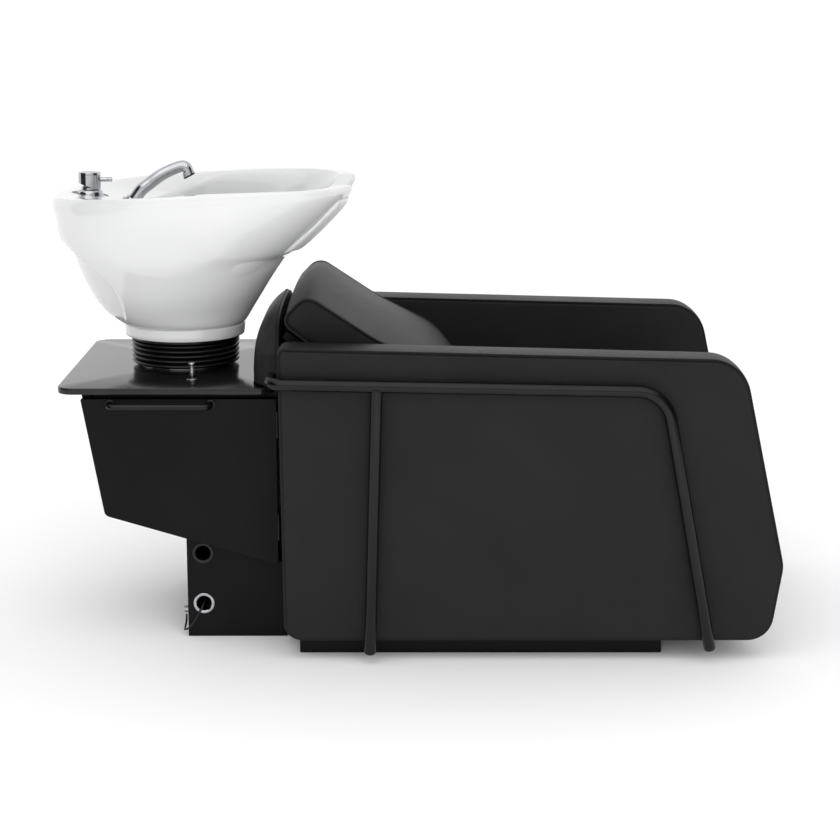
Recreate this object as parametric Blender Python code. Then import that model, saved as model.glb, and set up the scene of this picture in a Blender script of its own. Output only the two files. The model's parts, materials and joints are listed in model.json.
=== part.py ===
# Salon backwash unit: a reclined upholstered chair joined to a cabinet that carries a tilting ceramic basin.
# Metres, +Z up. The sitter faces +X, the access door is on the -Y side, and Z = 0 is the floor.
import math

import bmesh
import bpy
from mathutils import Vector

GAP = 0.0003            # clearance between pieces that touch

# Arms
ARM_OUT = 0.345         # outer face of an arm, from the middle plane
ARM_IN = 0.262
ARM_BOTTOM = 0.036
ARM_REAR = -0.2385
ARM_EDGE = 0.012        # rounding of the upholstered edges

# Bent tubes on the outer faces of the arms
TUBE_R = 0.011
TUBE_Y = ARM_OUT + 0.001 + TUBE_R
RAIL_REAR_Z = 0.5200    # rail centre height at the arm's rear
RAIL_FRONT = (0.4564, 0.5069)
LEG_END = (0.5484, 0.0231)
POST_TOP = (-0.0593, 0.5050)
POST_END = (-0.0735, 0.0155)

# Cabinet
TOP_Z = 0.492           # working surface
TOP_T = 0.012
PANEL = 0.016
DOOR_OUT = 0.235        # outer face of the door and of the far side panel
CARCASS_Y = 0.217       # inner pieces reach this far from the middle plane
DOOR_TOP = 0.4685
DOOR_FRONT = -0.2466
REAR_TOP = (-0.6073, 0.4685)
REAR_LOW = (-0.5687, 0.2461)
BOTTOM_SLOPE = -0.295   # fall of the cabinet's underside towards the chair

# Pedestal
PED_Y = 0.200
PED_REAR = -0.4223
PED_FRONT = -0.2350
PORT_X = -0.3917
PORT_Z = (0.1642, 0.0655)

# Basin
BASIN_X = -0.437        # axis of the round foot of the basin
FOOT_Z = 0.5512
TILT_Z = 0.520          # height of the tilt axle
NECK_DIP = 0.070        # depth of the neck recess
NECK_HALF = 0.105
FRONT_SIDES = 48        # points round the basin

# Taps
MIXER_X = -0.6132
MIXER_FOOT = 0.8128     # flat seat ground into the deck
MIXER_PIVOT = 0.8375
SPRAY_FOOT = (-0.5330, 0.8050)
SPRAY_SLOPE = 52        # degrees above level
NOZZLE = (-0.4233, 0.8560)
NOZZLE_SLOPE = -63.4


def remove_everything():
    for item in list(bpy.data.objects):
        bpy.data.objects.remove(item, do_unlink=True)


def material(name, colour, roughness, metallic=0.0):
    made = bpy.data.materials.new(name)
    made.use_nodes = True
    shader = made.node_tree.nodes["Principled BSDF"]
    shader.inputs["Base Color"].default_value = (*colour, 1.0)
    shader.inputs["Roughness"].default_value = roughness
    shader.inputs["Metallic"].default_value = metallic
    made.diffuse_color = (*colour, 1.0)
    return made


def finish_object(name, mesh, look, origin=(0, 0, 0)):
    # The mesh is written in world places; the origin goes to the point given.
    origin = Vector(origin)
    for vertex in mesh.vertices:
        vertex.co -= origin
    node = bpy.data.objects.new(name, mesh)
    node.location = origin
    bpy.context.scene.collection.objects.link(node)
    mesh.materials.append(look)
    return node


def mesh_from(bm, name, smooth=0.0):
    bmesh.ops.recalc_face_normals(bm, faces=bm.faces)
    if bm.calc_volume(signed=True) < 0:
        bmesh.ops.reverse_faces(bm, faces=bm.faces)
    mesh = bpy.data.meshes.new(name)
    bm.to_mesh(mesh)
    bm.free()
    if smooth:
        mesh.shade_smooth()
        mesh.set_sharp_from_angle(angle=math.radians(smooth))
    return mesh


def skin(name, rings, look, closed=False, smooth=40, origin=(0, 0, 0)):
    # Joins rings of equal point count; the ends are capped, or joined when closed.
    bm = bmesh.new()
    rows = [[bm.verts.new(point) for point in ring] for ring in rings]
    count = len(rings[0])
    pairs = list(zip(rows, rows[1:]))
    if closed:
        pairs.append((rows[-1], rows[0]))
    for low, high in pairs:
        for i in range(count):
            j = (i + 1) % count
            bm.faces.new((low[i], low[j], high[j], high[i]))
    if not closed:
        bm.faces.new(rows[0])
        bm.faces.new(rows[-1])
    return finish_object(name, mesh_from(bm, name, smooth), look, origin)


def block(name, low, high, look, bevel=0.0, origin=(0, 0, 0)):
    (x0, y0, z0), (x1, y1, z1) = low, high
    rings = [[(x0, y0, z), (x1, y0, z), (x1, y1, z), (x0, y1, z)] for z in (z0, z1)]
    node = skin(name, rings, look, smooth=0, origin=origin)
    if bevel:
        soften(node, bevel)
    return node


def soften(node, width, segments=2, angle=30):
    bevel = node.modifiers.new("edges", "BEVEL")
    bevel.width = width
    bevel.segments = segments
    bevel.limit_method = "ANGLE"
    bevel.angle_limit = math.radians(angle)
    return bevel


def rounded(corners, steps=5):
    # Corners are (u, v, radius); each is replaced by an arc where its radius is not zero.
    outline = []
    count = len(corners)
    for i, (u, v, radius) in enumerate(corners):
        here = Vector((u, v))
        before = (Vector(corners[i - 1][:2]) - here).normalized()
        after = (Vector(corners[(i + 1) % count][:2]) - here).normalized()
        if radius == 0:
            outline.append((u, v))
            continue
        half = before.angle(after) / 2
        reach = radius / math.tan(half)
        centre = here + (before + after).normalized() * (radius / math.sin(half))
        start = here + before * reach - centre
        end = here + after * reach - centre
        turn = start.angle_signed(end)
        for k in range(steps + 1):
            a = -turn * k / steps
            x = start.x * math.cos(a) - start.y * math.sin(a)
            y = start.x * math.sin(a) + start.y * math.cos(a)
            outline.append((centre.x + x, centre.y + y))
    return outline


def side_prism(name, outline, y0, y1, look, bevel=0.0, segments=2, smooth=0, origin=(0, 0, 0)):
    rings = [[(x, y, z) for x, z in outline] for y in (y0, y1)]
    node = skin(name, rings, look, smooth=smooth, origin=origin)
    if bevel:
        soften(node, bevel, segments, 50)
    return node


def plan_prism(name, outline, z0, z1, look, bevel=0.0):
    rings = [[(x, y, z) for x, y in outline] for z in (z0, z1)]
    node = skin(name, rings, look, smooth=0)
    if bevel:
        soften(node, bevel, 2, 50)
    return node


def turned(name, profile, centre, look, sides=24, closed=False, axis="Z", origin=(0, 0, 0)):
    # The profile is (radius, height) from the centre, along the axis that is named.
    rings = []
    for radius, height in profile:
        ring = []
        for k in range(sides):
            a = 2 * math.pi * k / sides
            u, v = radius * math.cos(a), radius * math.sin(a)
            local = {"Z": (u, v, height), "Y": (u, height, v), "X": (height, u, v)}[axis]
            ring.append(Vector(centre) + Vector(local))
        rings.append(ring)
    return skin(name, rings, look, closed=closed, smooth=35, origin=origin)


def smooth_path(points, step):
    # Catmull-Rom curve through the points, read at about even steps.
    knots = [Vector(p) for p in points]
    padded = [2 * knots[0] - knots[1]] + knots + [2 * knots[-1] - knots[-2]]
    path = []
    for a, b, c, d in zip(padded, padded[1:], padded[2:], padded[3:]):
        pieces = max(2, round((c - b).length / step))
        for k in range(pieces):
            t = k / pieces
            path.append(0.5 * (2 * b + (c - a) * t + (2 * a - 5 * b + 4 * c - d) * t ** 2
                               + (3 * b - a - 3 * c + d) * t ** 3))
    return path + [knots[-1]]


def bent_path(corners, steps=6):
    # Straight runs joined by arcs; corners are ((x, y, z), radius).
    path = [Vector(corners[0][0])]
    for (p, _), (q, radius), (r, _) in zip(corners, corners[1:], corners[2:]):
        here = Vector(q)
        before = (Vector(p) - here).normalized()
        after = (Vector(r) - here).normalized()
        half = before.angle(after) / 2
        reach = radius / math.tan(half)
        centre = here + (before + after).normalized() * (radius / math.sin(half))
        start = (here + before * reach) - centre
        end = (here + after * reach) - centre
        for k in range(steps + 1):
            path.append(centre + start.slerp(end, k / steps).normalized() * radius)
    path.append(Vector(corners[-1][0]))
    return path


def tube(name, path, radius, look, resolution=3):
    curve = bpy.data.curves.new(name, "CURVE")
    curve.dimensions = "3D"
    curve.bevel_depth = radius
    curve.bevel_resolution = resolution
    curve.use_fill_caps = True
    spline = curve.splines.new("POLY")
    spline.points.add(len(path) - 1)
    for point, place in zip(spline.points, path):
        point.co = (*place, 1.0)
    curve.materials.append(look)
    node = bpy.data.objects.new(name, curve)
    bpy.context.scene.collection.objects.link(node)
    return node


def cut(node, cutter):
    cutter.hide_render = True
    cutter.display_type = "WIRE"
    boolean = node.modifiers.new("opening", "BOOLEAN")
    boolean.operation = "DIFFERENCE"
    boolean.solver = "EXACT"
    boolean.object = cutter


def join(node, other):
    other.hide_render = True
    other.display_type = "WIRE"
    boolean = node.modifiers.new("join", "BOOLEAN")
    boolean.operation = "UNION"
    boolean.solver = "EXACT"
    boolean.object = other


# Chair

def make_arm(side, name, look):
    corners = [(ARM_REAR, 0.5838, 0.016), (-0.2325, ARM_BOTTOM, 0.034), (0.6600, ARM_BOTTOM, 0.048),
               (0.6820, 0.1786, 0.060), (0.5978, 0.5628, 0.075)]
    outline = rounded(corners)
    side_prism(name, outline, side * ARM_IN, side * ARM_OUT, look, ARM_EDGE, 3, smooth=60)


def make_side_tubes(side, label, look):
    y = side * TUBE_Y
    behind = ARM_REAR - 0.001 - TUBE_R
    corners = [((behind, side * 0.288, RAIL_REAR_Z), 0),
               ((behind, y, RAIL_REAR_Z), 0.024),
               ((RAIL_FRONT[0], y, RAIL_FRONT[1]), 0.065),
               ((LEG_END[0], y, LEG_END[1]), 0)]
    tube("side_tube_" + label, bent_path(corners), TUBE_R, look)
    post = [(POST_TOP[0], y, POST_TOP[1]), (POST_END[0], y, POST_END[1])]
    tube("side_post_" + label, [Vector(p) for p in post], TUBE_R, look)


def make_base(wood, board):
    block("base_plinth", (-0.205, -0.298, 0), (0.466, 0.298, ARM_BOTTOM - GAP), board, 0.002)
    inner = ARM_IN - 0.004
    block("base_board", (PED_FRONT + GAP, -inner, ARM_BOTTOM), (0.612, inner, 0.054), wood, 0.001)
    between = inner - 0.0225
    block("seat_board", (-0.020, -between, 0.286), (0.592, between, 0.302), wood, 0.001)
    block("chair_rear_panel", (PED_FRONT + GAP, -inner, 0.0543), (-0.2258, inner, 0.4925), board)
    for side, label in ((-1, "right"), (1, "left")):
        y0, y1 = sorted((side * inner, side * (inner - 0.022)))
        outline = [(-0.225, 0.0543), (-0.150, 0.0543), (0.060, 0.2857), (-0.020, 0.2857 + 0.110),
                   (-0.225, 0.540)]
        side_prism("back_frame_" + label, outline, y0, y1, board)


def make_seat(vinyl):
    inner = ARM_IN - 0.003
    outline = rounded([(0.060, 0.3023, 0.006), (0.618, 0.3023, 0.012), (0.626, 0.412, 0.030),
                       (0.128, 0.428, 0.012), (0.070, 0.380, 0.010)])
    side_prism("seat_cushion", outline, -inner, inner, vinyl, 0.010, 2, smooth=60)
    front = rounded([(0.6125, 0.050, 0.008), (0.637, 0.050, 0.010), (0.637, 0.298, 0.010),
                     (0.6125, 0.298, 0.004)])
    side_prism("front_panel", front, -inner, inner, vinyl, 0.004, 2, smooth=60)


def make_back(vinyl, board_look):
    cushion = rounded([(-0.2430, 0.6130, 0.016), (-0.1890, 0.6690, 0.026), (-0.0660, 0.5860, 0.2),
                       (0.0500, 0.5300, 0.10), (0.1180, 0.4380, 0.02), (0.0900, 0.4000, 0.012),
                       (0.0300, 0.4030, 0.02)])
    side_prism("back_cushion", cushion, -0.247, 0.247, vinyl, 0.010, 2, smooth=60)
    inner = ARM_IN - 0.028
    board = [(-0.2250, 0.5940), (-0.2335, 0.5830), (0.0150, 0.3900), (0.0235, 0.4010)]
    side_prism("back_board", board, -inner, inner, board_look)


def make_back_shell(vinyl):
    rear = [(-0.2480, 0.6215), (-0.2669, 0.6060), (-0.2831, 0.5850), (-0.2900, 0.5660),
            (-0.2935, 0.5420), (-0.2955, 0.5150), (-0.2935, 0.4945)]
    front = [(-0.2400, 0.4945), (-0.2400, 0.5600), (-0.2370, 0.6000), (-0.2400, 0.6150)]
    rings = []
    for k in range(-6, 7):
        share = k / 6
        y = 0.2535 * math.sin(share * math.pi / 2)
        keep = 0.12 + 0.88 * (1 - abs(share) ** 3.2)
        ring = [(-0.2410 + (x + 0.2410) * keep, y, z) for x, z in rear]
        rings.append(ring + [(x, y, z) for x, z in front])
    skin("back_shell", rings, vinyl, smooth=50)


# Cabinet

def underside(x):
    return REAR_LOW[1] + BOTTOM_SLOPE * (x - REAR_LOW[0])


def make_countertop(look):
    corners = [(-0.6490, -0.2545, 0.030), (-0.2490, -0.2545, 0.030), (-0.2490, 0.2545, 0.030),
               (-0.6490, 0.2545, 0.030)]
    top = plan_prism("countertop", rounded(corners), TOP_Z - TOP_T, TOP_Z, look, 0.0012)
    hole = turned("countertop_hole", [(0.046, -0.02), (0.046, 0.02)], (BASIN_X, 0, TOP_Z), look)
    cut(top, hole)
    return top


def door_outline():
    return rounded([(REAR_TOP[0], REAR_TOP[1], 0.003), (REAR_LOW[0], REAR_LOW[1], 0.012),
                    (DOOR_FRONT, underside(DOOR_FRONT), 0.003), (DOOR_FRONT, DOOR_TOP, 0.003)], 4)


def make_carcass(look):
    top = TOP_Z - TOP_T - GAP
    lean = (REAR_TOP[0] - REAR_LOW[0]) / (REAR_TOP[1] - REAR_LOW[1])
    rear_x = REAR_TOP[0] + lean * (top - REAR_TOP[1])
    side = [(rear_x, top), REAR_LOW, (DOOR_FRONT, underside(DOOR_FRONT)), (DOOR_FRONT, top)]
    side_prism("cabinet_left_side", side, CARCASS_Y + GAP, DOOR_OUT, look, 0.0008, 1)
    low_rear = REAR_LOW[1] + 0.018
    rear_at = REAR_LOW[0] + lean * 0.018
    rear = [(rear_x + 0.001, top), (rear_at + 0.001, low_rear), (rear_at + 0.017, low_rear),
            (rear_x + 0.017, top)]
    side_prism("cabinet_rear_panel", rear, -CARCASS_Y, CARCASS_Y, look)
    x0, x1 = REAR_LOW[0] + 0.001, DOOR_FRONT - 0.001
    bottom = [(x0, underside(x0) + 0.0005), (x1, underside(x1) + 0.0005),
              (x1, underside(x1) + 0.0165), (x0, underside(x0) + 0.0165)]
    floor = side_prism("cabinet_bottom_panel", bottom, -CARCASS_Y, CARCASS_Y, look)
    hole = block("bottom_hole", (-0.400, -0.110, 0.12), (-0.285, 0.110, 0.24), look)
    cut(floor, hole)
    low = underside(x1 - PANEL) + 0.0175
    block("cabinet_front_panel", (x1 - PANEL, -CARCASS_Y, low), (x1, CARCASS_Y, top), look)
    block("cabinet_top_rail", (-0.585, -CARCASS_Y, 0.4550), (x1 - PANEL - GAP, -CARCASS_Y + 0.018, top), look)


def make_pedestal(look, black, steel):
    for side, label in ((-1, "right"), (1, "left")):
        y0, y1 = sorted((side * PED_Y, side * (PED_Y - PANEL)))
        outline = [(PED_REAR, 0), (PED_FRONT, 0), (PED_FRONT, 0.144), (-0.2476, 0.144),
                   (-0.2476, underside(-0.2476)), (PED_REAR, underside(PED_REAR))]
        panel = side_prism("pedestal_" + label + "_side", outline, y0, y1, look)
        if side < 0:
            for z in PORT_Z:
                hole = turned("port_hole", [(0.0175, -0.03), (0.0175, 0.03)], (PORT_X, -PED_Y, z), look,
                              axis="Y")
                cut(panel, hole)
    y = PED_Y - PANEL - GAP
    top = underside(PED_REAR + PANEL)
    block("pedestal_rear_panel", (PED_REAR, -y, 0), (PED_REAR + PANEL, y, top), look)
    for z, label, look_of in ((PORT_Z[0], "upper", black), (PORT_Z[1], "lower", steel)):
        ring = [(0.0172, 0.014), (0.0172, -GAP), (0.0202, -GAP), (0.0198, -0.0022), (0.0160, -0.0028),
                (0.0145, -0.0014), (0.0145, 0.014)]
        turned("port_ring_" + label, ring, (PORT_X, -PED_Y, z), look_of, closed=True, axis="Y")
    wire = [(PORT_X + 0.002, -0.150, 0.078), (PORT_X + 0.001, -0.178, 0.070), (PORT_X, -0.196, 0.066),
            (PORT_X - 0.004, -0.2060, 0.057), (PORT_X - 0.015, -0.2075, 0.038),
            (PORT_X - 0.027, -0.2065, 0.020), (PED_REAR - 0.007, -0.1990, 0.0125),
            (PED_REAR - 0.0085, -0.184, 0.0125), (PED_REAR - 0.0075, -0.170, 0.020),
            (PED_REAR - 0.0078, -0.160, 0.030)]
    tube("bonding_wire", smooth_path(wire, 0.006), 0.0019, black, 2)
    turned("wire_terminal", [(0.0065, -0.0113), (0.0065, -0.0043), (0.009, -0.0036), (0.009, -GAP)],
           (0, 0, 0), steel, 12)
    turn = bpy.data.objects["wire_terminal"]
    turn.location = (PED_REAR, -0.160, 0.041)
    turn.rotation_euler = (0, math.radians(90), 0)


def make_door(look, black, steel, hinge_look):
    axis = (-0.2448, -0.2385, 0.31)
    side_prism("access_door", door_outline(), -DOOR_OUT, -CARCASS_Y - 0.0015, look, 0.0008, 1, origin=axis)
    out = -DOOR_OUT - GAP
    x0, x1, z = -0.5535, -0.3675, 0.4590
    path = bent_path([((x0, out, z), 0), ((x0, -0.265, z), 0.012), ((x1, -0.265, z), 0.012),
                      ((x1, out, z), 0)])
    tube("door_handle", path, 0.006, black, 3)
    for z0, label in ((0.395, "upper"), (0.200, "lower")):
        leaf = block("hinge_leaf_" + label, (-0.2463, -0.2388, z0 + 0.0163), (-0.2453, -0.2200, z0 + 0.0337),
                     hinge_look)
        barrel = turned("leaf_barrel", [(0.0024, 0.0163), (0.0024, 0.0337)], (axis[0], axis[1], z0),
                        hinge_look, 12)
        join(leaf, barrel)
        plate = block("hinge_plate_" + label, (-0.2450, -0.2355, z0), (-0.2441, -0.1960, z0 + 0.050),
                      hinge_look)
        for low in (0.0, 0.034):
            join(plate, block("plate_tab", (-0.2449, -0.2385, z0 + low), (-0.2442, -0.2340, z0 + low + 0.016),
                              hinge_look))
            join(plate, turned("plate_barrel", [(0.0024, low), (0.0024, low + 0.016)],
                               (axis[0], axis[1], z0), hinge_look, 12))
    block("magnet_catch", (-0.455, -0.2160, 0.4400), (-0.415, -0.2010, 0.4547), black, 0.001)
    block("strike_plate", (-0.450, -CARCASS_Y - 0.0012, 0.4415), (-0.420, -CARCASS_Y, 0.4535), steel)


# Basin

def rim_line(x):
    # Height of the rim, which rises towards the chair and levels out.
    share = min(max((x + 0.672) / 0.50, 0.0), 1.0)
    return 0.8225 + 0.0253 * math.sin(share * math.pi / 2)


def neck_dip(y):
    if abs(y) >= NECK_HALF:
        return 0.0
    return NECK_DIP * (0.5 + 0.5 * math.cos(math.pi * y / NECK_HALF)) ** 0.7


def basin_levels():
    # Each level: rear x and z, front x and z, half width, roundness, share of the neck dip,
    # and how far its height follows the rim.
    return [
        (-0.5514, 0.5512, -0.3226, 0.5512, 0.1144, 2.0, 0.0, 0),
        (-0.5534, 0.5740, -0.3206, 0.5740, 0.1164, 2.0, 0.0, 0),
        (-0.5700, 0.5830, -0.3130, 0.5860, 0.1262, 2.0, 0.0, 0),
        (-0.5904, 0.5990, -0.3010, 0.6060, 0.1405, 2.0, 0.0, 0),
        (-0.6120, 0.6310, -0.2800, 0.6400, 0.1650, 2.05, 0.0, 0),
        (-0.6330, 0.6720, -0.2560, 0.6770, 0.1895, 2.1, 0.0, 0),
        (-0.6520, 0.7180, -0.2330, 0.7060, 0.2105, 2.2, 0.0, 0),
        (-0.6700, 0.7430, -0.2140, 0.7220, 0.2196, 2.3, 0.05, 0),
        (-0.6760, 0.7850, -0.1580, 0.7770, 0.2350, 2.35, 0.50, 0),
        (-0.6810, 0.8080, -0.1100, 0.8270, 0.2410, 2.4, 0.92, 0),
        (-0.6785, 0.8170, -0.1030, 0.8400, 0.2420, 2.4, 1.0, 0),
        (-0.6680, 0.8220, -0.1090, 0.8465, 0.2380, 2.4, 1.0, 1),
        (-0.5020, 0.8000, -0.1360, 0.8475, 0.2210, 2.5, 1.0, 2),
        (-0.4960, 0.7900, -0.1440, 0.8350, 0.2130, 2.5, 0.95, 3),
        (-0.4930, 0.7450, -0.1950, 0.7750, 0.2020, 2.4, 0.45, 0),
        (-0.4900, 0.6850, -0.2480, 0.7000, 0.1780, 2.2, 0.0, 0),
        (-0.4850, 0.6350, -0.3050, 0.6400, 0.1280, 2.1, 0.0, 0),
        (-0.4800, 0.6075, -0.3850, 0.6080, 0.0560, 2.0, 0.0, 0),
        (-0.4790, 0.6035, -0.3950, 0.6035, 0.0420, 2.0, 0.0, 0),
        (-0.4675, 0.6030, -0.4065, 0.6030, 0.0305, 2.0, 0.0, 0),
        (-0.4675, 0.5512, -0.4065, 0.5512, 0.0305, 2.0, 0.0, 0),
    ]


def basin_point(level, angle):
    rear_x, rear_z, front_x, front_z, half, power, dip, follow = level
    c, s = math.cos(angle), math.sin(angle)
    if c > 0:
        power += math.sqrt(dip)  # the front is flatter, where the sitter's neck lies
    middle, reach = (rear_x + front_x) / 2, (front_x - rear_x) / 2
    x = middle + reach * math.copysign(abs(c) ** (2 / power), c)
    y = half * math.copysign(abs(s) ** (2 / power), s)
    share = (x - rear_x) / (front_x - rear_x)
    z = rear_z + (front_z - rear_z) * share
    if follow == 1:
        z = rim_line(x)
    if follow >= 2:
        deck = min(max((-0.370 - x) / 0.125, 0.0), 1.0)
        deck = deck * deck * (3 - 2 * deck)
        z = rim_line(x) - 0.031 * deck
        if follow == 3:
            z -= 0.010
    if c > 0:
        drop = neck_dip(y) * dip
        z -= drop
        x -= drop * 0.95
    return Vector((x, y, z))


def ring_angles():
    return [2 * math.pi * k / FRONT_SIDES for k in range(FRONT_SIDES)]


def make_basin(glaze, soft, steel, tilt):
    rings = [[basin_point(level, a) for a in ring_angles()] for level in basin_levels()]
    basin = skin("basin", rings, glaze, closed=True, smooth=60, origin=tilt)
    make_neck_rest(soft, tilt)
    centre = (BASIN_X, 0, 0)
    drain = [(0.0295, 0.5560), (0.0295, 0.6037), (0.0400, 0.6037), (0.0400, 0.6058), (0.0285, 0.6062),
             (0.0255, 0.6000), (0.0190, 0.5950), (0.0190, 0.5100), (0.0215, 0.5100), (0.0215, 0.5560)]
    turned("drain_fitting", drain, centre, steel, closed=True, origin=tilt)
    cap = [(0.0010, 0.6010), (0.0180, 0.6010), (0.0240, 0.6035), (0.0240, 0.6060), (0.0170, 0.6105),
           (0.0060, 0.6135), (0.0010, 0.6138)]
    turned("hair_strainer", cap, centre, steel, origin=(BASIN_X, 0, 0.60))
    return basin


def make_neck_rest(look, tilt):
    levels = basin_levels()[7:11]
    count, spread = 17, 0.50
    def row(level, lift):
        line = []
        for k in range(count):
            angle = spread * (2 * k / (count - 1) - 1)
            base = basin_point(level, angle)
            across = basin_point(level, angle + 0.01) - basin_point(level, angle - 0.01)
            up = Vector((0.70, 0, 0.71))
            normal = across.cross(up).normalized()
            line.append(base + normal * lift)
        return line
    inside = [row(level, 0.0006) for level in levels[:3]]
    outside = [row(level, 0.0080) for level in levels[:3]]
    outside[0] = row(levels[0], 0.0050)
    rings = []
    for k in range(count):
        rings.append([inside[0][k], inside[1][k], inside[2][k], outside[2][k], outside[1][k], outside[0][k]])
    skin("neck_rest", rings, look, smooth=60, origin=tilt)


def make_tilt_parts(steel, rubber, tilt):
    plate = [(0.046, 0.4923), (0.084, 0.4923), (0.084, 0.4963), (0.046, 0.4963)]
    base = turned("tilt_base", plate, (BASIN_X, 0, 0), steel, closed=True)
    carrier_plate = [(0.044, 0.5450), (0.0915, 0.5450), (0.0915, 0.5509), (0.044, 0.5509)]
    carrier = turned("basin_carrier", carrier_plate, (BASIN_X, 0, 0), steel, closed=True, origin=tilt)
    for side, label in ((-1, "right"), (1, "left")):
        ear = rounded([(BASIN_X - 0.020, 0.4950, 0), (BASIN_X + 0.020, 0.4950, 0),
                       (BASIN_X + 0.012, 0.5320, 0.009), (BASIN_X - 0.012, 0.5320, 0.009)], 3)
        y0, y1 = sorted((side * 0.0650, side * 0.0710))
        join(base, side_prism("base_ear", ear, y0, y1, steel))
        lug = rounded([(BASIN_X - 0.011, 0.5090, 0.008), (BASIN_X + 0.011, 0.5090, 0.008),
                       (BASIN_X + 0.016, 0.5470, 0), (BASIN_X - 0.016, 0.5470, 0)], 3)
        y0, y1 = sorted((side * 0.0560, side * 0.0620))
        join(carrier, side_prism("carrier_lug", lug, y0, y1, steel))
    for node, reach in ((base, 0.1), (carrier, 0.1)):
        bore = turned("axle_bore", [(0.0052, -reach), (0.0052, reach)], (BASIN_X, 0, TILT_Z), steel, 16,
                      axis="Y")
        cut(node, bore)
    for side, label in ((-1, "right"), (1, "left")):
        pin = [(0.0049, side * 0.0540), (0.0049, side * 0.0715), (0.0080, side * 0.0716),
               (0.0080, side * 0.0750)]
        turned("tilt_axle_" + label, pin, (BASIN_X, 0, TILT_Z), steel, 16, axis="Y")
    make_gaiter(rubber)
    stud = (-0.4075, -0.170, TOP_Z)
    screw = [(0.0110, GAP), (0.0110, 0.0022), (0.0064, 0.0026), (0.0064, 0.0120), (0.0030, 0.0126),
             (0.0030, 0.0250), (0.0060, 0.0285), (0.0060, 0.0315), (0.0030, 0.0330)]
    turned("tilt_lock_screw", screw, stud, steel, 12, origin=stud)


def gaiter_profile():
    # Bellows folds between the countertop and the foot of the basin.
    low, high = TOP_Z + 0.0048, FOOT_Z - GAP
    folds = 5
    outer, inner = [], []
    for k in range(2 * folds + 1):
        z = low + (high - low) * k / (2 * folds)
        bulge = 0.0065 if k % 2 else 0.0
        outer.append((0.0965 + 0.0010 * k / (2 * folds) + bulge, z))
        inner.append((0.0935 + 0.0010 * k / (2 * folds) + bulge, z))
    outer[-1] = (0.1045, high)
    inner[-1] = (0.1025, high)
    return outer + inner[::-1]


def make_gaiter(rubber):
    turned("gaiter", gaiter_profile(), (BASIN_X, 0, 0), rubber, 40, closed=True)


# Taps

def make_mixer(basin, steel, tilt):
    foot = (MIXER_X, 0, 0)
    seat = turned("mixer_seat", [(0.0350, MIXER_FOOT), (0.0350, 0.8600)], foot, steel, 28)
    cut(basin, seat)
    low = MIXER_FOOT + GAP
    body = [(0.0010, low), (0.0330, low), (0.0330, low + 0.0022), (0.0250, low + 0.0036),
            (0.0240, 0.8250), (0.0200, 0.8290), (0.0010, 0.8290)]
    turned("mixer_body", body, foot, steel, 28, origin=tilt)
    pivot = (MIXER_X, 0, MIXER_PIVOT)
    stem = [(0.0010, 0.8293), (0.0165, 0.8293), (0.0165, 0.8335), (0.0100, MIXER_PIVOT),
            (0.0010, MIXER_PIVOT)]
    turned("mixer_cartridge", stem, foot, steel, 20, origin=pivot)
    handle = skin("mixer_handle", cap_rings(), steel, smooth=35, origin=pivot)
    pin = turned("mixer_pin", [(0.0045, 0.0150), (0.0045, 0.0422), (0.0037, 0.0430)],
                 (MIXER_X, 0, 0.8480), steel, 12, axis="X")
    join(handle, pin)


def cap_rings(sides=32):
    # The cap's lower edge rises towards the rear, which leaves room for lifting the pin.
    top, hollow = 0.8622, 0.8420
    rings = []
    for radius, height in ((0.0010, hollow), (0.0185, hollow), (0.0185, None), (0.0203, None),
                           (0.0211, None), (0.0211, top - 0.0010), (0.0201, top), (0.0010, top)):
        ring = []
        for k in range(sides):
            a = 2 * math.pi * k / sides
            x, y = radius * math.cos(a), radius * math.sin(a)
            z = height or MIXER_PIVOT - 0.0016 - 0.277 * x
            ring.append((MIXER_X + x, y, z))
        rings.append(ring)
    return rings


def tilted_ring(x, z, slope, radius, sides=16):
    a = math.radians(slope)
    upward = Vector((-math.sin(a), 0, math.cos(a)))
    across = Vector((0, 1, 0))
    centre = Vector((x, 0, z))
    ring = []
    for k in range(sides):
        b = 2 * math.pi * k / sides
        ring.append(centre + (upward * math.cos(b) + across * math.sin(b)) * radius)
    return ring


def along_holder(profile, sides=20):
    # Rings on the holder's slanted axis, from (distance above its foot, radius).
    x, z = SPRAY_FOOT
    c, s = math.cos(math.radians(SPRAY_SLOPE)), math.sin(math.radians(SPRAY_SLOPE))
    return [tilted_ring(x + far * c, z + far * s, SPRAY_SLOPE, radius, sides) for far, radius in profile]


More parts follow.
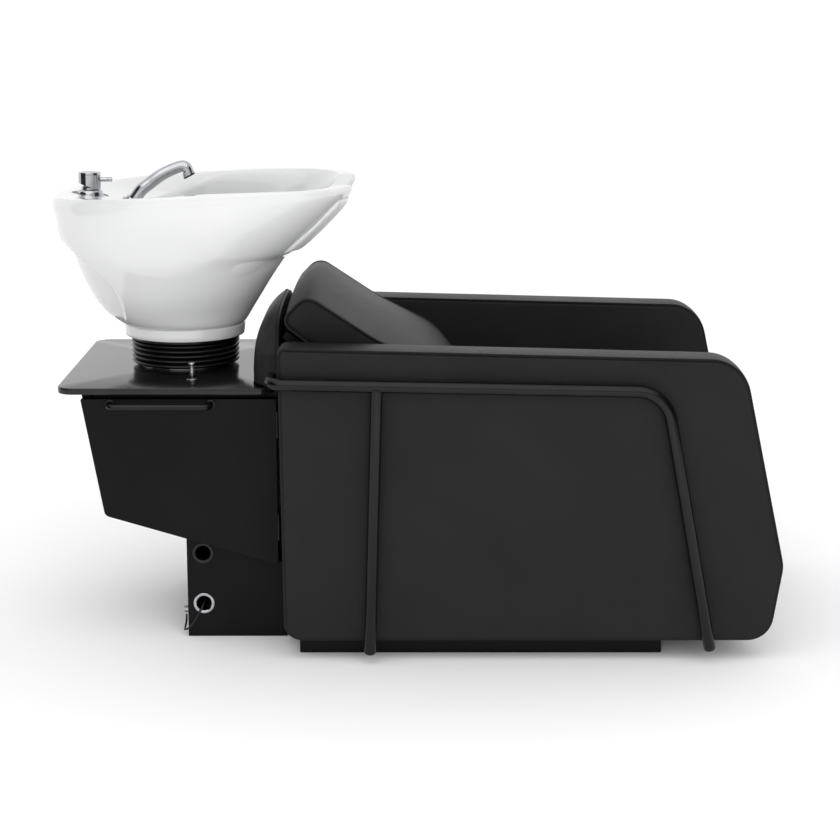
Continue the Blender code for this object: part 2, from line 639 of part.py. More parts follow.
def make_spray(basin, steel, tilt):
    foot = (SPRAY_FOOT[0], 0, SPRAY_FOOT[1])
    pocket = skin("spray_pocket", along_holder([(-0.0185, 0.0199), (0.0500, 0.0199)]), steel)
    cut(basin, pocket)
    socket = [(-0.0182, 0.0150), (-0.0080, 0.0195), (-0.0003, 0.0190), (-0.0003, 0.0130), (-0.0182, 0.0110)]
    skin("spray_socket", along_holder(socket), steel, closed=True, smooth=50, origin=tilt)
    collar = [(0.0002, 0.0150), (0.0062, 0.0150), (0.0068, 0.0143), (0.0068, 0.0104), (0.0002, 0.0104)]
    skin("spray_collar", along_holder(collar), steel, closed=True, smooth=50, origin=foot)
    arm = along_holder([(-0.0040, 0.0098), (0.0072, 0.0098), (0.0076, 0.0118), (0.0150, 0.0124)], 16)
    # Middle line of the curved arm: x, z, slope in degrees and radius.
    for ring in ((-0.4983, 0.8409, 40, 0.0121), (-0.4758, 0.8568, 31, 0.0117), (-0.4521, 0.8681, 22, 0.0113),
                 (-0.4370, 0.8728, 8, 0.0112), (-0.4285, 0.8705, -30, 0.0115),
                 (-0.4253, 0.8625, NOZZLE_SLOPE, 0.0118), (*NOZZLE, NOZZLE_SLOPE, 0.0122)):
        arm.append(tilted_ring(*ring))
    skin("hand_spray", arm, steel, smooth=50, origin=foot)
    c, s = math.cos(math.radians(NOZZLE_SLOPE)), math.sin(math.radians(NOZZLE_SLOPE))
    nozzle = []
    for far, radius in ((GAP, 0.0112), (0.0016, 0.0117), (0.0030, 0.0110)):
        nozzle.append(tilted_ring(NOZZLE[0] + c * far, NOZZLE[1] + s * far, NOZZLE_SLOPE, radius))
    skin("spray_nozzle", nozzle, steel, smooth=50, origin=(NOZZLE[0], 0, NOZZLE[1]))


# Plumbing

def make_plumbing(black, steel):
    trap = [(0.0010, 0.3500), (0.0300, 0.3500), (0.0340, 0.3560), (0.0340, 0.4600), (0.0310, 0.4650),
            (0.0260, 0.4650), (0.0260, 0.3800), (0.0010, 0.3780)]
    turned("waste_trap", trap, (BASIN_X, 0, 0), black, 24)
    outlet = [(BASIN_X + 0.0345, 0, 0.428), (-0.375, 0, 0.426), (-0.335, 0, 0.405), (-0.322, 0, 0.360),
              (-0.320, 0, 0.250), (-0.320, 0, 0.150), (-0.320, 0, 0.060)]
    tube("waste_pipe", smooth_path(outlet, 0.02), 0.016, black, 3)
    for side, label in ((-1, "hot"), (1, "cold")):
        hose = [(BASIN_X, side * 0.0370, 0.491), (BASIN_X, side * 0.0385, 0.474),
                (BASIN_X - 0.002, side * 0.050, 0.435),
                (BASIN_X + 0.020, side * 0.065, 0.360), (-0.370, side * 0.082, 0.270),
                (-0.3560, side * 0.073, 0.205), (-0.3535, side * 0.070, 0.160), (-0.3535, side * 0.070, 0.1264)]
        tube(label + "_hose", smooth_path(hose, 0.016), 0.0058, steel, 2)
    bar = block("supply_bar", (-0.347, -0.085, 0.060), (-0.360, 0.085, 0.084), steel)
    for y in (-0.070, 0.070):
        riser = [(0.0085, 0.0700), (0.0085, 0.1260)]
        join(bar, turned("supply_riser", riser, (-0.3535, y, 0), steel, 16))


def build():
    remove_everything()
    vinyl = material("black_vinyl", (0.035, 0.035, 0.036), 0.50)
    tube_paint = material("gloss_black_paint", (0.012, 0.012, 0.013), 0.25)
    board = material("black_laminate", (0.016, 0.016, 0.018), 0.45)
    top_look = material("satin_countertop", (0.060, 0.060, 0.064), 0.22)
    wood = material("frame_plywood", (0.016, 0.014, 0.012), 0.70)
    glaze = material("white_glaze", (0.86, 0.87, 0.87), 0.08)
    soft = material("white_gel", (0.84, 0.84, 0.83), 0.45)
    chrome = material("chrome", (0.62, 0.63, 0.65), 0.12, 1.0)
    steel = material("zinc_steel", (0.45, 0.45, 0.46), 0.35, 1.0)
    rubber = material("black_rubber", (0.010, 0.010, 0.010), 0.40)
    plastic = material("black_plastic", (0.014, 0.014, 0.014), 0.40)

    for side, label in ((-1, "right"), (1, "left")):
        make_arm(side, "arm_" + label, vinyl)
        make_side_tubes(side, label, tube_paint)
    make_base(wood, board)
    make_seat(vinyl)
    make_back(vinyl, board)
    make_back_shell(vinyl)

    make_countertop(top_look)
    make_carcass(board)
    make_pedestal(board, plastic, chrome)
    make_door(board, tube_paint, steel, tube_paint)

    tilt = (BASIN_X, 0, TILT_Z)
    make_tilt_parts(steel, rubber, tilt)
    basin = make_basin(glaze, soft, chrome, tilt)
    make_mixer(basin, chrome, tilt)
    make_spray(basin, chrome, tilt)
    make_plumbing(plastic, steel)


build()
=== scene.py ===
# Salon backwash unit: an upholstered chair, its cabinet, and a tilting ceramic basin with its taps.
import json
import math

import bmesh
import bpy
import numpy as np
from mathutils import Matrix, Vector, noise


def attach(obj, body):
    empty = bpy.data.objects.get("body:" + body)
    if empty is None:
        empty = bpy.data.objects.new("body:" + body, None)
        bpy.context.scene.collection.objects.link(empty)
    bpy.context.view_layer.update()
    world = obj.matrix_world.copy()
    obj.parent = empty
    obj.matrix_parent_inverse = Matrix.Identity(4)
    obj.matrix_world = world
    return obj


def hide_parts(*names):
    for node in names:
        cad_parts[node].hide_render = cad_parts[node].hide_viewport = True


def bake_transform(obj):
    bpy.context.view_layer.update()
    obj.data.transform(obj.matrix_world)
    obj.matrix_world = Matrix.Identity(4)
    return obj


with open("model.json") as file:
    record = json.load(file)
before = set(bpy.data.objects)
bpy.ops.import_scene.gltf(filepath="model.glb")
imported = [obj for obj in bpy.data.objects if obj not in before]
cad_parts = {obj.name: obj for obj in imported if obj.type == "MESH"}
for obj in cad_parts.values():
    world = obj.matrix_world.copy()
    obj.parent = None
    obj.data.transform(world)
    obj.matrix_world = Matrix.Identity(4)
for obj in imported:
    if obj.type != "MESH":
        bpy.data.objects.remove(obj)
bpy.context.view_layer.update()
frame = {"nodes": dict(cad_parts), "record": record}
scene = bpy.context.scene
nodes = frame["nodes"]

# Camera, first, because everything else is judged through it

cameraFacts = {"place": (0.018, -3.905, 1.246), "fall": 12.55, "lens": 87.43}


def makeCamera():
    turn = (math.radians(90 - cameraFacts["fall"]), 0, 0)
    bpy.ops.object.camera_add(location=cameraFacts["place"], rotation=turn)
    camera = bpy.context.object
    camera.name = "viewCamera"
    camera.data.lens = cameraFacts["lens"]
    camera.data.sensor_width = 36
    scene.camera = camera


makeCamera()
print("camera made")


# Shader maths

class Value:
    # An output of a node; sums and products of values add Math nodes.
    def __init__(self, look, socket):
        self.look = look
        self.socket = socket

    def maths(self, operation, *terms):
        return self.look.node("ShaderNodeMath", {"operation": operation}, terms)

    def __add__(self, other):
        return self.maths("ADD", self, other)

    def __radd__(self, other):
        return self.maths("ADD", other, self)

    def __sub__(self, other):
        return self.maths("SUBTRACT", self, other)

    def __rsub__(self, other):
        return self.maths("SUBTRACT", other, self)

    def __mul__(self, other):
        return self.maths("MULTIPLY", self, other)

    def __rmul__(self, other):
        return self.maths("MULTIPLY", other, self)

    def __pow__(self, other):
        return self.maths("POWER", self, other)


class Look:
    # A material with a Principled shader, and one method for every other node.
    def __init__(self, name, settings):
        self.material = bpy.data.materials.new(name)
        self.material.use_nodes = True
        self.tree = self.material.node_tree
        self.shader = self.tree.nodes["Principled BSDF"]
        for socket, value in settings.items():
            self.shader.inputs[socket].default_value = value
        colour = settings.get("Base Color", (0.5, 0.5, 0.5, 1))
        self.material.diffuse_color = colour

    def node(self, kind, settings=None, values=(), out=0):
        made = self.tree.nodes.new(kind)
        for key, value in (settings or {}).items():
            if key == "stops":
                for stop, (place, colour) in zip(made.color_ramp.elements, value):
                    stop.position = place
                    stop.color = (*colour, 1)
            else:
                setattr(made, key, value)
        pairs = values.items() if isinstance(values, dict) else enumerate(values)
        for key, value in pairs:
            if isinstance(value, Value):
                self.tree.links.new(value.socket, made.inputs[key])
            else:
                made.inputs[key].default_value = value
        return Value(self, made.outputs[out])

    def place(self, scale=(1, 1, 1)):
        here = self.node("ShaderNodeTexCoord", out="Object")
        if scale == (1, 1, 1):
            return here
        return self.node("ShaderNodeMapping", None, {"Vector": here, "Scale": scale})

    def noise(self, size, detail=3, roughness=0.5, scale=(1, 1, 1)):
        # size is the width of a patch in metres
        values = {"Vector": self.place(scale), "Scale": 1 / size, "Detail": detail, "Roughness": roughness}
        return self.node("ShaderNodeTexNoise", None, values, "Fac")

    def cells(self, size, feature="F1", scale=(1, 1, 1), out="Distance"):
        values = {"Vector": self.place(scale), "Scale": 1 / size}
        return self.node("ShaderNodeTexVoronoi", {"feature": feature}, values, out)

    def between(self, value, low, high, newLow=0.0, newHigh=1.0):
        values = {"Value": value, "From Min": low, "From Max": high, "To Min": newLow, "To Max": newHigh}
        return self.node("ShaderNodeMapRange", None, values)

    def tint(self, factor, first, second):
        mixed = self.tree.nodes.new("ShaderNodeMix")
        mixed.data_type = "RGBA"
        for index, value in ((0, factor), (6, first), (7, second)):
            if isinstance(value, Value):
                self.tree.links.new(value.socket, mixed.inputs[index])
            else:
                mixed.inputs[index].default_value = value if index == 0 else (*value, 1)
        return Value(self, mixed.outputs[2])

    def feed(self, socket, value):
        self.tree.links.new(value.socket, self.shader.inputs[socket])

    def bump(self, height, depth, strength=1.0):
        # depth is the height of the relief in metres
        values = {"Height": height, "Distance": depth, "Strength": strength}
        self.feed("Normal", self.node("ShaderNodeBump", None, values))


finishes = {
    "vinyl": {"colour": (0.0062, 0.0062, 0.0066), "worn": (0.0100, 0.0100, 0.0105), "grain": 0.0011},
    "tube": {"colour": (0.0020, 0.0020, 0.0022), "dust": (0.0045, 0.0045, 0.0048), "peel": 0.0060},
    "laminate": {"colour": (0.0022, 0.0022, 0.0024), "dust": (0.0046, 0.0046, 0.0049)},
    "countertop": {"colour": (0.0060, 0.0060, 0.0064), "dust": (0.0110, 0.0110, 0.0116)},
    "plywood": {"light": (0.022, 0.019, 0.016), "dark": (0.006, 0.005, 0.0045)},
    "glaze": {"colour": (0.67, 0.67, 0.67), "cool": (0.64, 0.645, 0.65)},
    "gel": {"colour": (0.80, 0.80, 0.79), "cool": (0.74, 0.745, 0.74)},
    "chrome": {"colour": (0.50, 0.51, 0.53), "smear": (0.42, 0.43, 0.45)},
    "zinc": {"colour": (0.50, 0.50, 0.49), "spangle": (0.40, 0.41, 0.42)},
    "rubber": {"colour": (0.0018, 0.0018, 0.0019), "bloom": (0.0042, 0.0042, 0.0044)},
    "plastic": {"colour": (0.0040, 0.0040, 0.0043), "scuff": (0.0090, 0.0090, 0.0094)},
    "thread": {"colour": (0.0010, 0.0010, 0.0010), "light": (0.0030, 0.0030, 0.0031)},
}


def vinylLook():
    facts = finishes["vinyl"]
    look = Look("satin vinyl", {"Roughness": 0.46, "Specular IOR Level": 0.22})
    patches = look.noise(0.16, 2)
    fine = look.noise(0.0028, 3, 0.6)
    look.feed("Base Color", look.tint(look.between(patches * 0.7 + fine * 0.3, 0.35, 0.65),
                                      facts["colour"], facts["worn"]))
    look.feed("Roughness", look.between(patches * 0.6 + fine * 0.4, 0.3, 0.7, 0.41, 0.52))
    pebbles = look.cells(facts["grain"], "DISTANCE_TO_EDGE")
    creases = look.between(pebbles, 0.0, 0.22)
    stretch = look.noise(0.030, 3, 0.55, (1, 1, 1.6))
    look.bump(creases * 0.16 + fine * 0.12 + stretch * 0.55, 0.0016, 0.65)
    return look.material


def tubeLook():
    facts = finishes["tube"]
    look = Look("gloss black powder coat", {"Roughness": 0.20, "Specular IOR Level": 0.30})
    ripple = look.noise(facts["peel"], 2)
    marks = look.noise(0.05, 4, 0.6)
    look.feed("Base Color", look.tint(look.between(marks, 0.4, 0.75), facts["colour"], facts["dust"]))
    look.feed("Roughness", look.between(marks, 0.3, 0.7, 0.16, 0.25))
    look.bump(ripple, 0.00004, 0.4)
    return look.material


def laminateLook():
    facts = finishes["laminate"]
    look = Look("black laminated board", {"Roughness": 0.42, "Specular IOR Level": 0.14})
    fine = look.noise(0.0016, 2, 0.5)
    wide = look.noise(0.20, 3, 0.6)
    look.feed("Base Color", look.tint(look.between(wide, 0.40, 0.70), facts["colour"], facts["dust"]))
    look.feed("Roughness", look.between(wide * 0.7 + fine * 0.3, 0.3, 0.7, 0.36, 0.50))
    look.bump(fine, 0.00010, 0.7)
    return look.material


def countertopLook():
    facts = finishes["countertop"]
    look = Look("satin black worktop", {"Roughness": 0.14, "Specular IOR Level": 0.38})
    fine = look.noise(0.0012, 2, 0.5)
    wide = look.noise(0.12, 4, 0.6)
    look.feed("Base Color", look.tint(look.between(wide, 0.40, 0.70), facts["colour"], facts["dust"]))
    look.feed("Roughness", look.between(wide, 0.3, 0.7, 0.12, 0.18))
    look.bump(fine, 0.00005, 0.6)
    return look.material


def plywoodLook():
    facts = finishes["plywood"]
    look = Look("black stained plywood", {"Roughness": 0.70, "Specular IOR Level": 0.2})
    grain = look.noise(0.012, 5, 0.62, (0.12, 1, 1))
    pores = look.noise(0.0012, 3, 0.6, (0.06, 1, 1))
    share = look.between(grain * 0.75 + pores * 0.25, 0.35, 0.65)
    look.feed("Base Color", look.tint(share, facts["light"], facts["dark"]))
    look.feed("Roughness", look.between(pores, 0.3, 0.7, 0.62, 0.80))
    look.bump(pores, 0.00030, 0.8)
    return look.material


def glazeLook():
    facts = finishes["glaze"]
    look = Look("white glazed ceramic", {"Roughness": 0.10, "Specular IOR Level": 0.5, "Coat Weight": 0.5,
                                         "Coat Roughness": 0.04})
    wide = look.noise(0.14, 2)
    wave = look.noise(0.045, 2)
    specks = look.noise(0.0022, 2, 0.7)
    share = look.between(wide * 0.8 + specks * 0.2, 0.35, 0.65)
    look.feed("Base Color", look.tint(share, facts["colour"], facts["cool"]))
    look.feed("Roughness", look.between(wide, 0.3, 0.7, 0.08, 0.14))
    look.bump(wave * 0.9 + specks * 0.02, 0.0006, 0.35)
    return look.material


def gelLook():
    facts = finishes["gel"]
    look = Look("soft white gel", {"Roughness": 0.38, "Specular IOR Level": 0.45, "Subsurface Weight": 0.15,
                                   "Subsurface Radius": (0.006, 0.005, 0.004)})
    wide = look.noise(0.05, 3)
    fine = look.noise(0.0009, 2)
    look.feed("Base Color", look.tint(look.between(wide, 0.35, 0.65), facts["colour"], facts["cool"]))
    look.feed("Roughness", look.between(wide, 0.3, 0.7, 0.34, 0.46))
    look.bump(fine, 0.00012, 0.5)
    return look.material


def chromeLook():
    facts = finishes["chrome"]
    look = Look("polished chrome", {"Metallic": 1.0, "Roughness": 0.12})
    smears = look.noise(0.018, 4, 0.62)
    drops = look.cells(0.006)
    look.feed("Base Color", look.tint(look.between(smears, 0.40, 0.70), facts["colour"], facts["smear"]))
    look.feed("Roughness", look.between(smears * 0.8 + drops * 0.2, 0.3, 0.7, 0.07, 0.17))
    look.bump(smears, 0.00006, 0.4)
    return look.material


def zincLook():
    facts = finishes["zinc"]
    look = Look("zinc plated steel", {"Metallic": 1.0, "Roughness": 0.34})
    grain = look.noise(0.0015, 3, 0.5)
    spangle = look.cells(0.009, out="Color")
    share = look.node("ShaderNodeSeparateColor", None, [spangle])
    look.feed("Base Color", look.tint(share * 0.6 + grain * 0.4, facts["colour"], facts["spangle"]))
    look.feed("Roughness", look.between(share, 0.0, 1.0, 0.28, 0.42))
    look.bump(grain, 0.00006, 0.6)
    return look.material


def braidLook():
    # Woven steel sleeve, its wires laid out round and along the hose by the tube's own map.
    look = Look("braided steel hose", {"Metallic": 1.0, "Roughness": 0.30})
    hoseMap = look.node("ShaderNodeUVMap")
    parts = look.node("ShaderNodeSeparateXYZ", None, [hoseMap], 0)
    along = look.node("ShaderNodeSeparateXYZ", None, [hoseMap], 1)
    first = look.node("ShaderNodeMath", {"operation": "SINE"}, [along * 3000 + parts * 75])
    second = look.node("ShaderNodeMath", {"operation": "SINE"}, [along * 3000 - parts * 75])
    weave = look.node("ShaderNodeMath", {"operation": "MAXIMUM"}, [first, second])
    # The colour follows the real crossing of the wires, but the dark steel in the gaps between them is
    # painted shade; the crests keep the steel's own colour.
    share = look.between(weave, -0.6, 1.0)
    look.feed("Base Color", look.tint(share, (0.16, 0.16, 0.165), (0.60, 0.60, 0.60)))
    look.bump(weave, 0.0004, 0.9)
    return look.material


def rubberLook():
    facts = finishes["rubber"]
    look = Look("black rubber", {"Roughness": 0.34, "Specular IOR Level": 0.45})
    bloom = look.noise(0.022, 4, 0.6)
    fine = look.noise(0.0008, 2)
    look.feed("Base Color", look.tint(look.between(bloom, 0.45, 0.75), facts["colour"], facts["bloom"]))
    look.feed("Roughness", look.between(bloom, 0.3, 0.7, 0.27, 0.42))
    look.bump(fine, 0.00010, 0.6)
    return look.material


def plasticLook():
    facts = finishes["plastic"]
    look = Look("black moulded plastic", {"Roughness": 0.42, "Specular IOR Level": 0.45})
    scuffs = look.noise(0.015, 4, 0.65)
    fine = look.noise(0.0010, 2)
    look.feed("Base Color", look.tint(look.between(scuffs, 0.5, 0.75), facts["colour"], facts["scuff"]))
    look.feed("Roughness", look.between(scuffs, 0.3, 0.7, 0.36, 0.50))
    look.bump(fine, 0.00014, 0.6)
    return look.material


def threadLook():
    facts = finishes["thread"]
    look = Look("twisted black thread", {"Roughness": 0.55, "Specular IOR Level": 0.4})
    ply = look.noise(0.0006, 2, 0.5, (1, 1, 3))
    look.feed("Base Color", look.tint(look.between(ply, 0.35, 0.65), facts["colour"], facts["light"]))
    look.bump(ply, 0.0003, 0.8)
    return look.material


looks = {
    "vinyl": vinylLook(), "tube": tubeLook(), "laminate": laminateLook(), "countertop": countertopLook(),
    "plywood": plywoodLook(), "glaze": glazeLook(), "gel": gelLook(), "chrome": chromeLook(),
    "zinc": zincLook(), "rubber": rubberLook(), "plastic": plasticLook(), "thread": threadLook(),
    "braid": braidLook(),
}

slotOf = {part["node"]: part["material_slot"] for part in frame["record"]["subparts"]}
for nodeName, node in nodes.items():
    node.data.materials.clear()
    node.data.materials.append(looks[slotOf[nodeName]])
print("finishes made")


# Workshop helpers

def named(name):
    piece = bpy.context.object
    piece.name = name
    piece.data.name = name
    return piece


def editAll(piece):
    bpy.ops.object.select_all(action="DESELECT")
    bpy.context.view_layer.objects.active = piece
    piece.select_set(True)
    bpy.ops.object.mode_set(mode="EDIT")
    bpy.ops.mesh.select_all(action="SELECT")


def leaveEdit():
    bpy.ops.object.mode_set(mode="OBJECT")


def modify(piece, kind, settings):
    bpy.ops.object.select_all(action="DESELECT")
    bpy.context.view_layer.objects.active = piece
    piece.select_set(True)
    modifier = piece.modifiers.new(kind.lower(), kind)
    for key, value in settings.items():
        setattr(modifier, key, value)
    bpy.ops.object.modifier_apply(modifier=modifier.name)


def smoothed(piece, angle=40):
    bpy.ops.object.select_all(action="DESELECT")
    bpy.context.view_layer.objects.active = piece
    piece.select_set(True)
    bpy.ops.object.shade_smooth_by_angle(angle=math.radians(angle))


def setPoints(piece, points):
    piece.data.vertices.foreach_set("co", np.array(points, dtype=np.float32).ravel())
    piece.data.update()


def getPoints(piece):
    points = np.empty(len(piece.data.vertices) * 3, dtype=np.float32)
    piece.data.vertices.foreach_get("co", points)
    return points.reshape(-1, 3)


def lofted(name, rings, endless=False, capped=True, angle=40):
    # A grid is laid along the rings, one row each, and sewn to itself round the piece.
    rows = [list(ring) + [ring[0]] for ring in rings]
    if endless:
        rows.append(rows[0])
    bpy.ops.object.select_all(action="DESELECT")
    bpy.ops.mesh.primitive_grid_add(x_subdivisions=len(rows[0]) - 1, y_subdivisions=len(rows) - 1, size=1)
    piece = named(name)
    setPoints(piece, [tuple(point) for row in rows for point in row])
    editAll(piece)
    bpy.ops.mesh.remove_doubles(threshold=0.000004)
    if capped and not endless:
        bpy.ops.mesh.select_all(action="DESELECT")
        bpy.ops.mesh.select_non_manifold(extend=False)
        bpy.ops.mesh.fill_holes(sides=0)
    bpy.ops.mesh.select_all(action="SELECT")
    bpy.ops.mesh.normals_make_consistent(inside=False)
    leaveEdit()
    smoothed(piece, angle)
    return piece


def spun(name, profile, centre, axis=(0, 0, 1), steps=48, bevel=0.0, segments=2, angle=35, openProfile=True):
    # The profile's points are (radius, height) along the axis; the strip is spun right round.
    along = Vector(axis).normalized()
    outward = Vector((0, 1, 0)) if abs(along.y) < 0.9 else Vector((1, 0, 0))
    outward = (outward - along * outward.dot(along)).normalized()
    points = [Vector(centre) + outward * radius + along * height for radius, height in profile]
    bpy.ops.object.select_all(action="DESELECT")
    bpy.ops.mesh.primitive_circle_add(vertices=len(points), radius=1, fill_type="NOTHING")
    piece = named(name)
    setPoints(piece, [tuple(point) for point in points])
    editAll(piece)
    if openProfile:
        shape = bmesh.from_edit_mesh(piece.data)
        shape.verts.ensure_lookup_table()
        last = [edge for edge in shape.edges if {v.index for v in edge.verts} == {0, len(points) - 1}]
        bmesh.ops.delete(shape, geom=last, context="EDGES")
        bmesh.update_edit_mesh(piece.data)
        bpy.ops.mesh.select_all(action="SELECT")
    bpy.ops.mesh.spin(steps=steps, angle=2 * math.pi, center=centre, axis=along)
    bpy.ops.mesh.select_all(action="SELECT")
    bpy.ops.mesh.remove_doubles(threshold=0.00002)
    if openProfile:
        bpy.ops.mesh.select_all(action="DESELECT")
        bpy.ops.mesh.select_non_manifold(extend=False)
        bpy.ops.mesh.fill_holes(sides=0)
    bpy.ops.mesh.select_all(action="SELECT")
    bpy.ops.mesh.normals_make_consistent(inside=False)
    leaveEdit()
    if bevel:
        modify(piece, "BEVEL", {"width": bevel, "segments": segments, "limit_method": "ANGLE",
                                "angle_limit": math.radians(30)})
    smoothed(piece, angle)
    return piece


def tubed(name, path, radius, look, sides=24, domed=False, closed=False):
    # A round bar along a path; domed ends are drawn in by the points' own radius.
    points = [Vector(place) for place in path]
    shares = [1.0] * len(points)
    if domed:
        for end, nextOne in ((-1, -2),) if domed == "end" else ((0, 1), (-1, -2)):
            outward = (points[end] - points[nextOne]).normalized()
            base = points[end] - outward * radius * 0.6
            extra = []
            for k in range(6):
                turn = math.pi / 2 * k / 5.02
                extra.append((base + outward * radius * 0.6 * math.sin(turn), math.cos(turn)))
            if end == 0:
                points = [place for place, _ in extra[::-1]] + points[1:]
                shares = [share for _, share in extra[::-1]] + shares[1:]
            else:
                points = points[:-1] + [place for place, _ in extra]
                shares = shares[:-1] + [share for _, share in extra]
    bpy.ops.object.select_all(action="DESELECT")
    bpy.ops.curve.primitive_bezier_curve_add()
    piece = named(name)
    curve = piece.data
    curve.splines.clear()
    curve.dimensions = "3D"
    curve.bevel_depth = radius
    curve.bevel_resolution = max(0, sides // 4 - 1)
    curve.use_fill_caps = not closed
    spline = curve.splines.new("POLY")
    spline.points.add(len(points) - 1)
    for point, place, share in zip(spline.points, points, shares):
        point.co = (*place, 1)
        point.radius = share
    spline.use_cyclic_u = closed
    bpy.ops.object.convert(target="MESH")
    piece = bpy.context.object
    editAll(piece)
    bpy.ops.mesh.remove_doubles(threshold=0.000004)
    bpy.ops.mesh.normals_make_consistent(inside=False)
    leaveEdit()
    smoothed(piece, 50)
    piece.data.materials.clear()
    piece.data.materials.append(looks[look])
    return piece


def settle(piece, body, slot, look=None, replaced=()):
    # Gives a finished piece its body and its material (the slot's look unless another look is named), and
    # hides the CAD parts it replaces.
    if look or not piece.data.materials:
        piece.data.materials.clear()
        piece.data.materials.append(looks[look or slot])
    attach(piece, body)
    if replaced:
        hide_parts(*replaced)
    return piece


def roundedOutline(corners, steps=10):
    # Corners are (u, v, radius); each is replaced by an arc.
    outline = []
    for i, (u, v, radius) in enumerate(corners):
        here = Vector((u, v))
        before = (Vector(corners[i - 1][:2]) - here).normalized()
        after = (Vector(corners[(i + 1) % len(corners)][:2]) - here).normalized()
        half = before.angle(after) / 2
        reach = radius / math.tan(half)
        centre = here + (before + after).normalized() * (radius / math.sin(half))
        start, end = here + before * reach - centre, here + after * reach - centre
        turn = start.angle_signed(end)
        for k in range(steps + 1):
            a = -turn * k / steps
            outline.append((centre.x + start.x * math.cos(a) - start.y * math.sin(a),
                            centre.y + start.x * math.sin(a) + start.y * math.cos(a)))
    return outline


def evenly(outline, count, closed=True):
    # The same line with points at equal distances.
    points = np.array(list(outline) + ([outline[0]] if closed else []), float)
    lengths = np.concatenate(([0], np.cumsum(np.linalg.norm(np.diff(points, axis=0), axis=1))))
    places = np.linspace(0, lengths[-1], count + (1 if closed else 0))
    made = np.stack([np.interp(places, lengths, points[:, k]) for k in range(points.shape[1])], axis=1)
    return made[:-1] if closed else made


def inset(outline, distance):
    # Moves every point of a flat closed line towards its inside.
    points = np.array(outline, float)
    along = np.roll(points, -1, axis=0) - np.roll(points, 1, axis=0)
    along /= np.linalg.norm(along, axis=1)[:, None]
    inward = np.stack((-along[:, 1], along[:, 0]), axis=1)
    x, y = points[:, 0], points[:, 1]
    area = np.sum(x * np.roll(y, -1) - np.roll(x, -1) * y)
    if area < 0:
        inward = -inward
    return points + inward * distance


def bentPath(corners, steps=12):
    # Straight runs joined by arcs; corners are ((x, y, z), radius).
    path = [Vector(corners[0][0])]
    for (p, _), (q, radius), (r, _) in zip(corners, corners[1:], corners[2:]):
        here = Vector(q)
        before, after = (Vector(p) - here).normalized(), (Vector(r) - here).normalized()
        half = before.angle(after) / 2
        reach = radius / math.tan(half)
        centre = here + (before + after).normalized() * (radius / math.sin(half))
        start, end = (here + before * reach) - centre, (here + after * reach) - centre
        for k in range(steps + 1):
            path.append(centre + start.slerp(end, k / steps).normalized() * radius)
    path.append(Vector(corners[-1][0]))
    return path


def smoothPath(points, step):
    knots = [Vector(p) for p in points]
    wide = [2 * knots[0] - knots[1]] + knots + [2 * knots[-1] - knots[-2]]
    path = []
    for a, b, c, d in zip(wide, wide[1:], wide[2:], wide[3:]):
        pieces = max(2, round((c - b).length / step))
        for k in range(pieces):
            t = k / pieces
            path.append(0.5 * (2 * b + (c - a) * t + (2 * a - 5 * b + 4 * c - d) * t ** 2
                               + (3 * b - a - 3 * c + d) * t ** 3))
    return path + [knots[-1]]


def stitched(name, path, gap, length, thick, body="frame"):
    # One stitch is modelled, copied along the path, and the copies are joined.
    line = evenly([tuple(p) for p in path], int(pathLength(path) / gap), closed=False)
    bpy.ops.object.select_all(action="DESELECT")
    bpy.ops.mesh.primitive_uv_sphere_add(segments=6, ring_count=5, radius=1)
    first = named(name)
    shape = getPoints(first) * np.array((thick, thick, length / 2))
    faces = [tuple(face.vertices) for face in first.data.polygons]
    allPoints, allFaces = [], []
    for here, there in zip(line, line[1:]):
        along = Vector(there - here).normalized()
        across = along.orthogonal().normalized()
        up = along.cross(across)
        turn = np.array((across, up, along))
        start = len(allPoints) * len(shape)
        allPoints.append(shape @ turn + (here + there) / 2)
        allFaces += [tuple(start + v for v in face) for face in faces]
    first.data.clear_geometry()
    first.data.from_pydata(np.concatenate(allPoints).tolist(), [], allFaces)
    smoothed(first, 60)
    return settle(first, body, "vinyl", "thread")


def pathLength(path):
    return sum((Vector(b) - Vector(a)).length for a, b in zip(path, path[1:]))


# Arms

armFacts = {
    "corners": [(-0.2385, 0.5838, 0.016), (-0.2325, 0.0360, 0.034), (0.6600, 0.0360, 0.048),
                (0.6820, 0.1786, 0.060), (0.5978, 0.5628, 0.075)],
    "outer": 0.3442, "inner": 0.2628, "roundness": 0.0115, "roll": 0.0035, "crown": 0.0007, "seam": 0.0034,
    "points": 420, "stitchGap": 0.0064, "stitchLength": 0.0050, "stitchThick": 0.00110,
}


def softInset(turn, reach):
    # The padded side rolls over more slowly than the band does.
    r = armFacts["roundness"]
    wide = r + armFacts["roll"] * math.cos(turn) ** 2
    return wide * (1 - reach / r * math.sin(turn))


def armSection():
    # From the middle of one side panel, over the band, to the middle of the other: (inset, place across).
    facts = armFacts
    middle, half = (facts["outer"] + facts["inner"]) / 2, (facts["outer"] - facts["inner"]) / 2
    r = facts["roundness"]
    corner = []
    for k in range(13):
        turn = math.pi / 2 * k / 12
        groove = facts["seam"] * math.exp(-((k - 6) / 0.8) ** 2)
        puff = 0.0008 * math.exp(-((abs(k - 6) - 2.4) / 1.2) ** 2)
        reach = r - groove + puff - 0.0009
        corner.append((softInset(turn, reach), half - r + reach * math.cos(turn)))
    band = [(0.0007, half - 0.0165), (0.0002, half - 0.024), (0.0, half - 0.033)]
    first = corner + band
    return [(d, middle + y) for d, y in first] + [(d, middle - y) for d, y in reversed(first)]


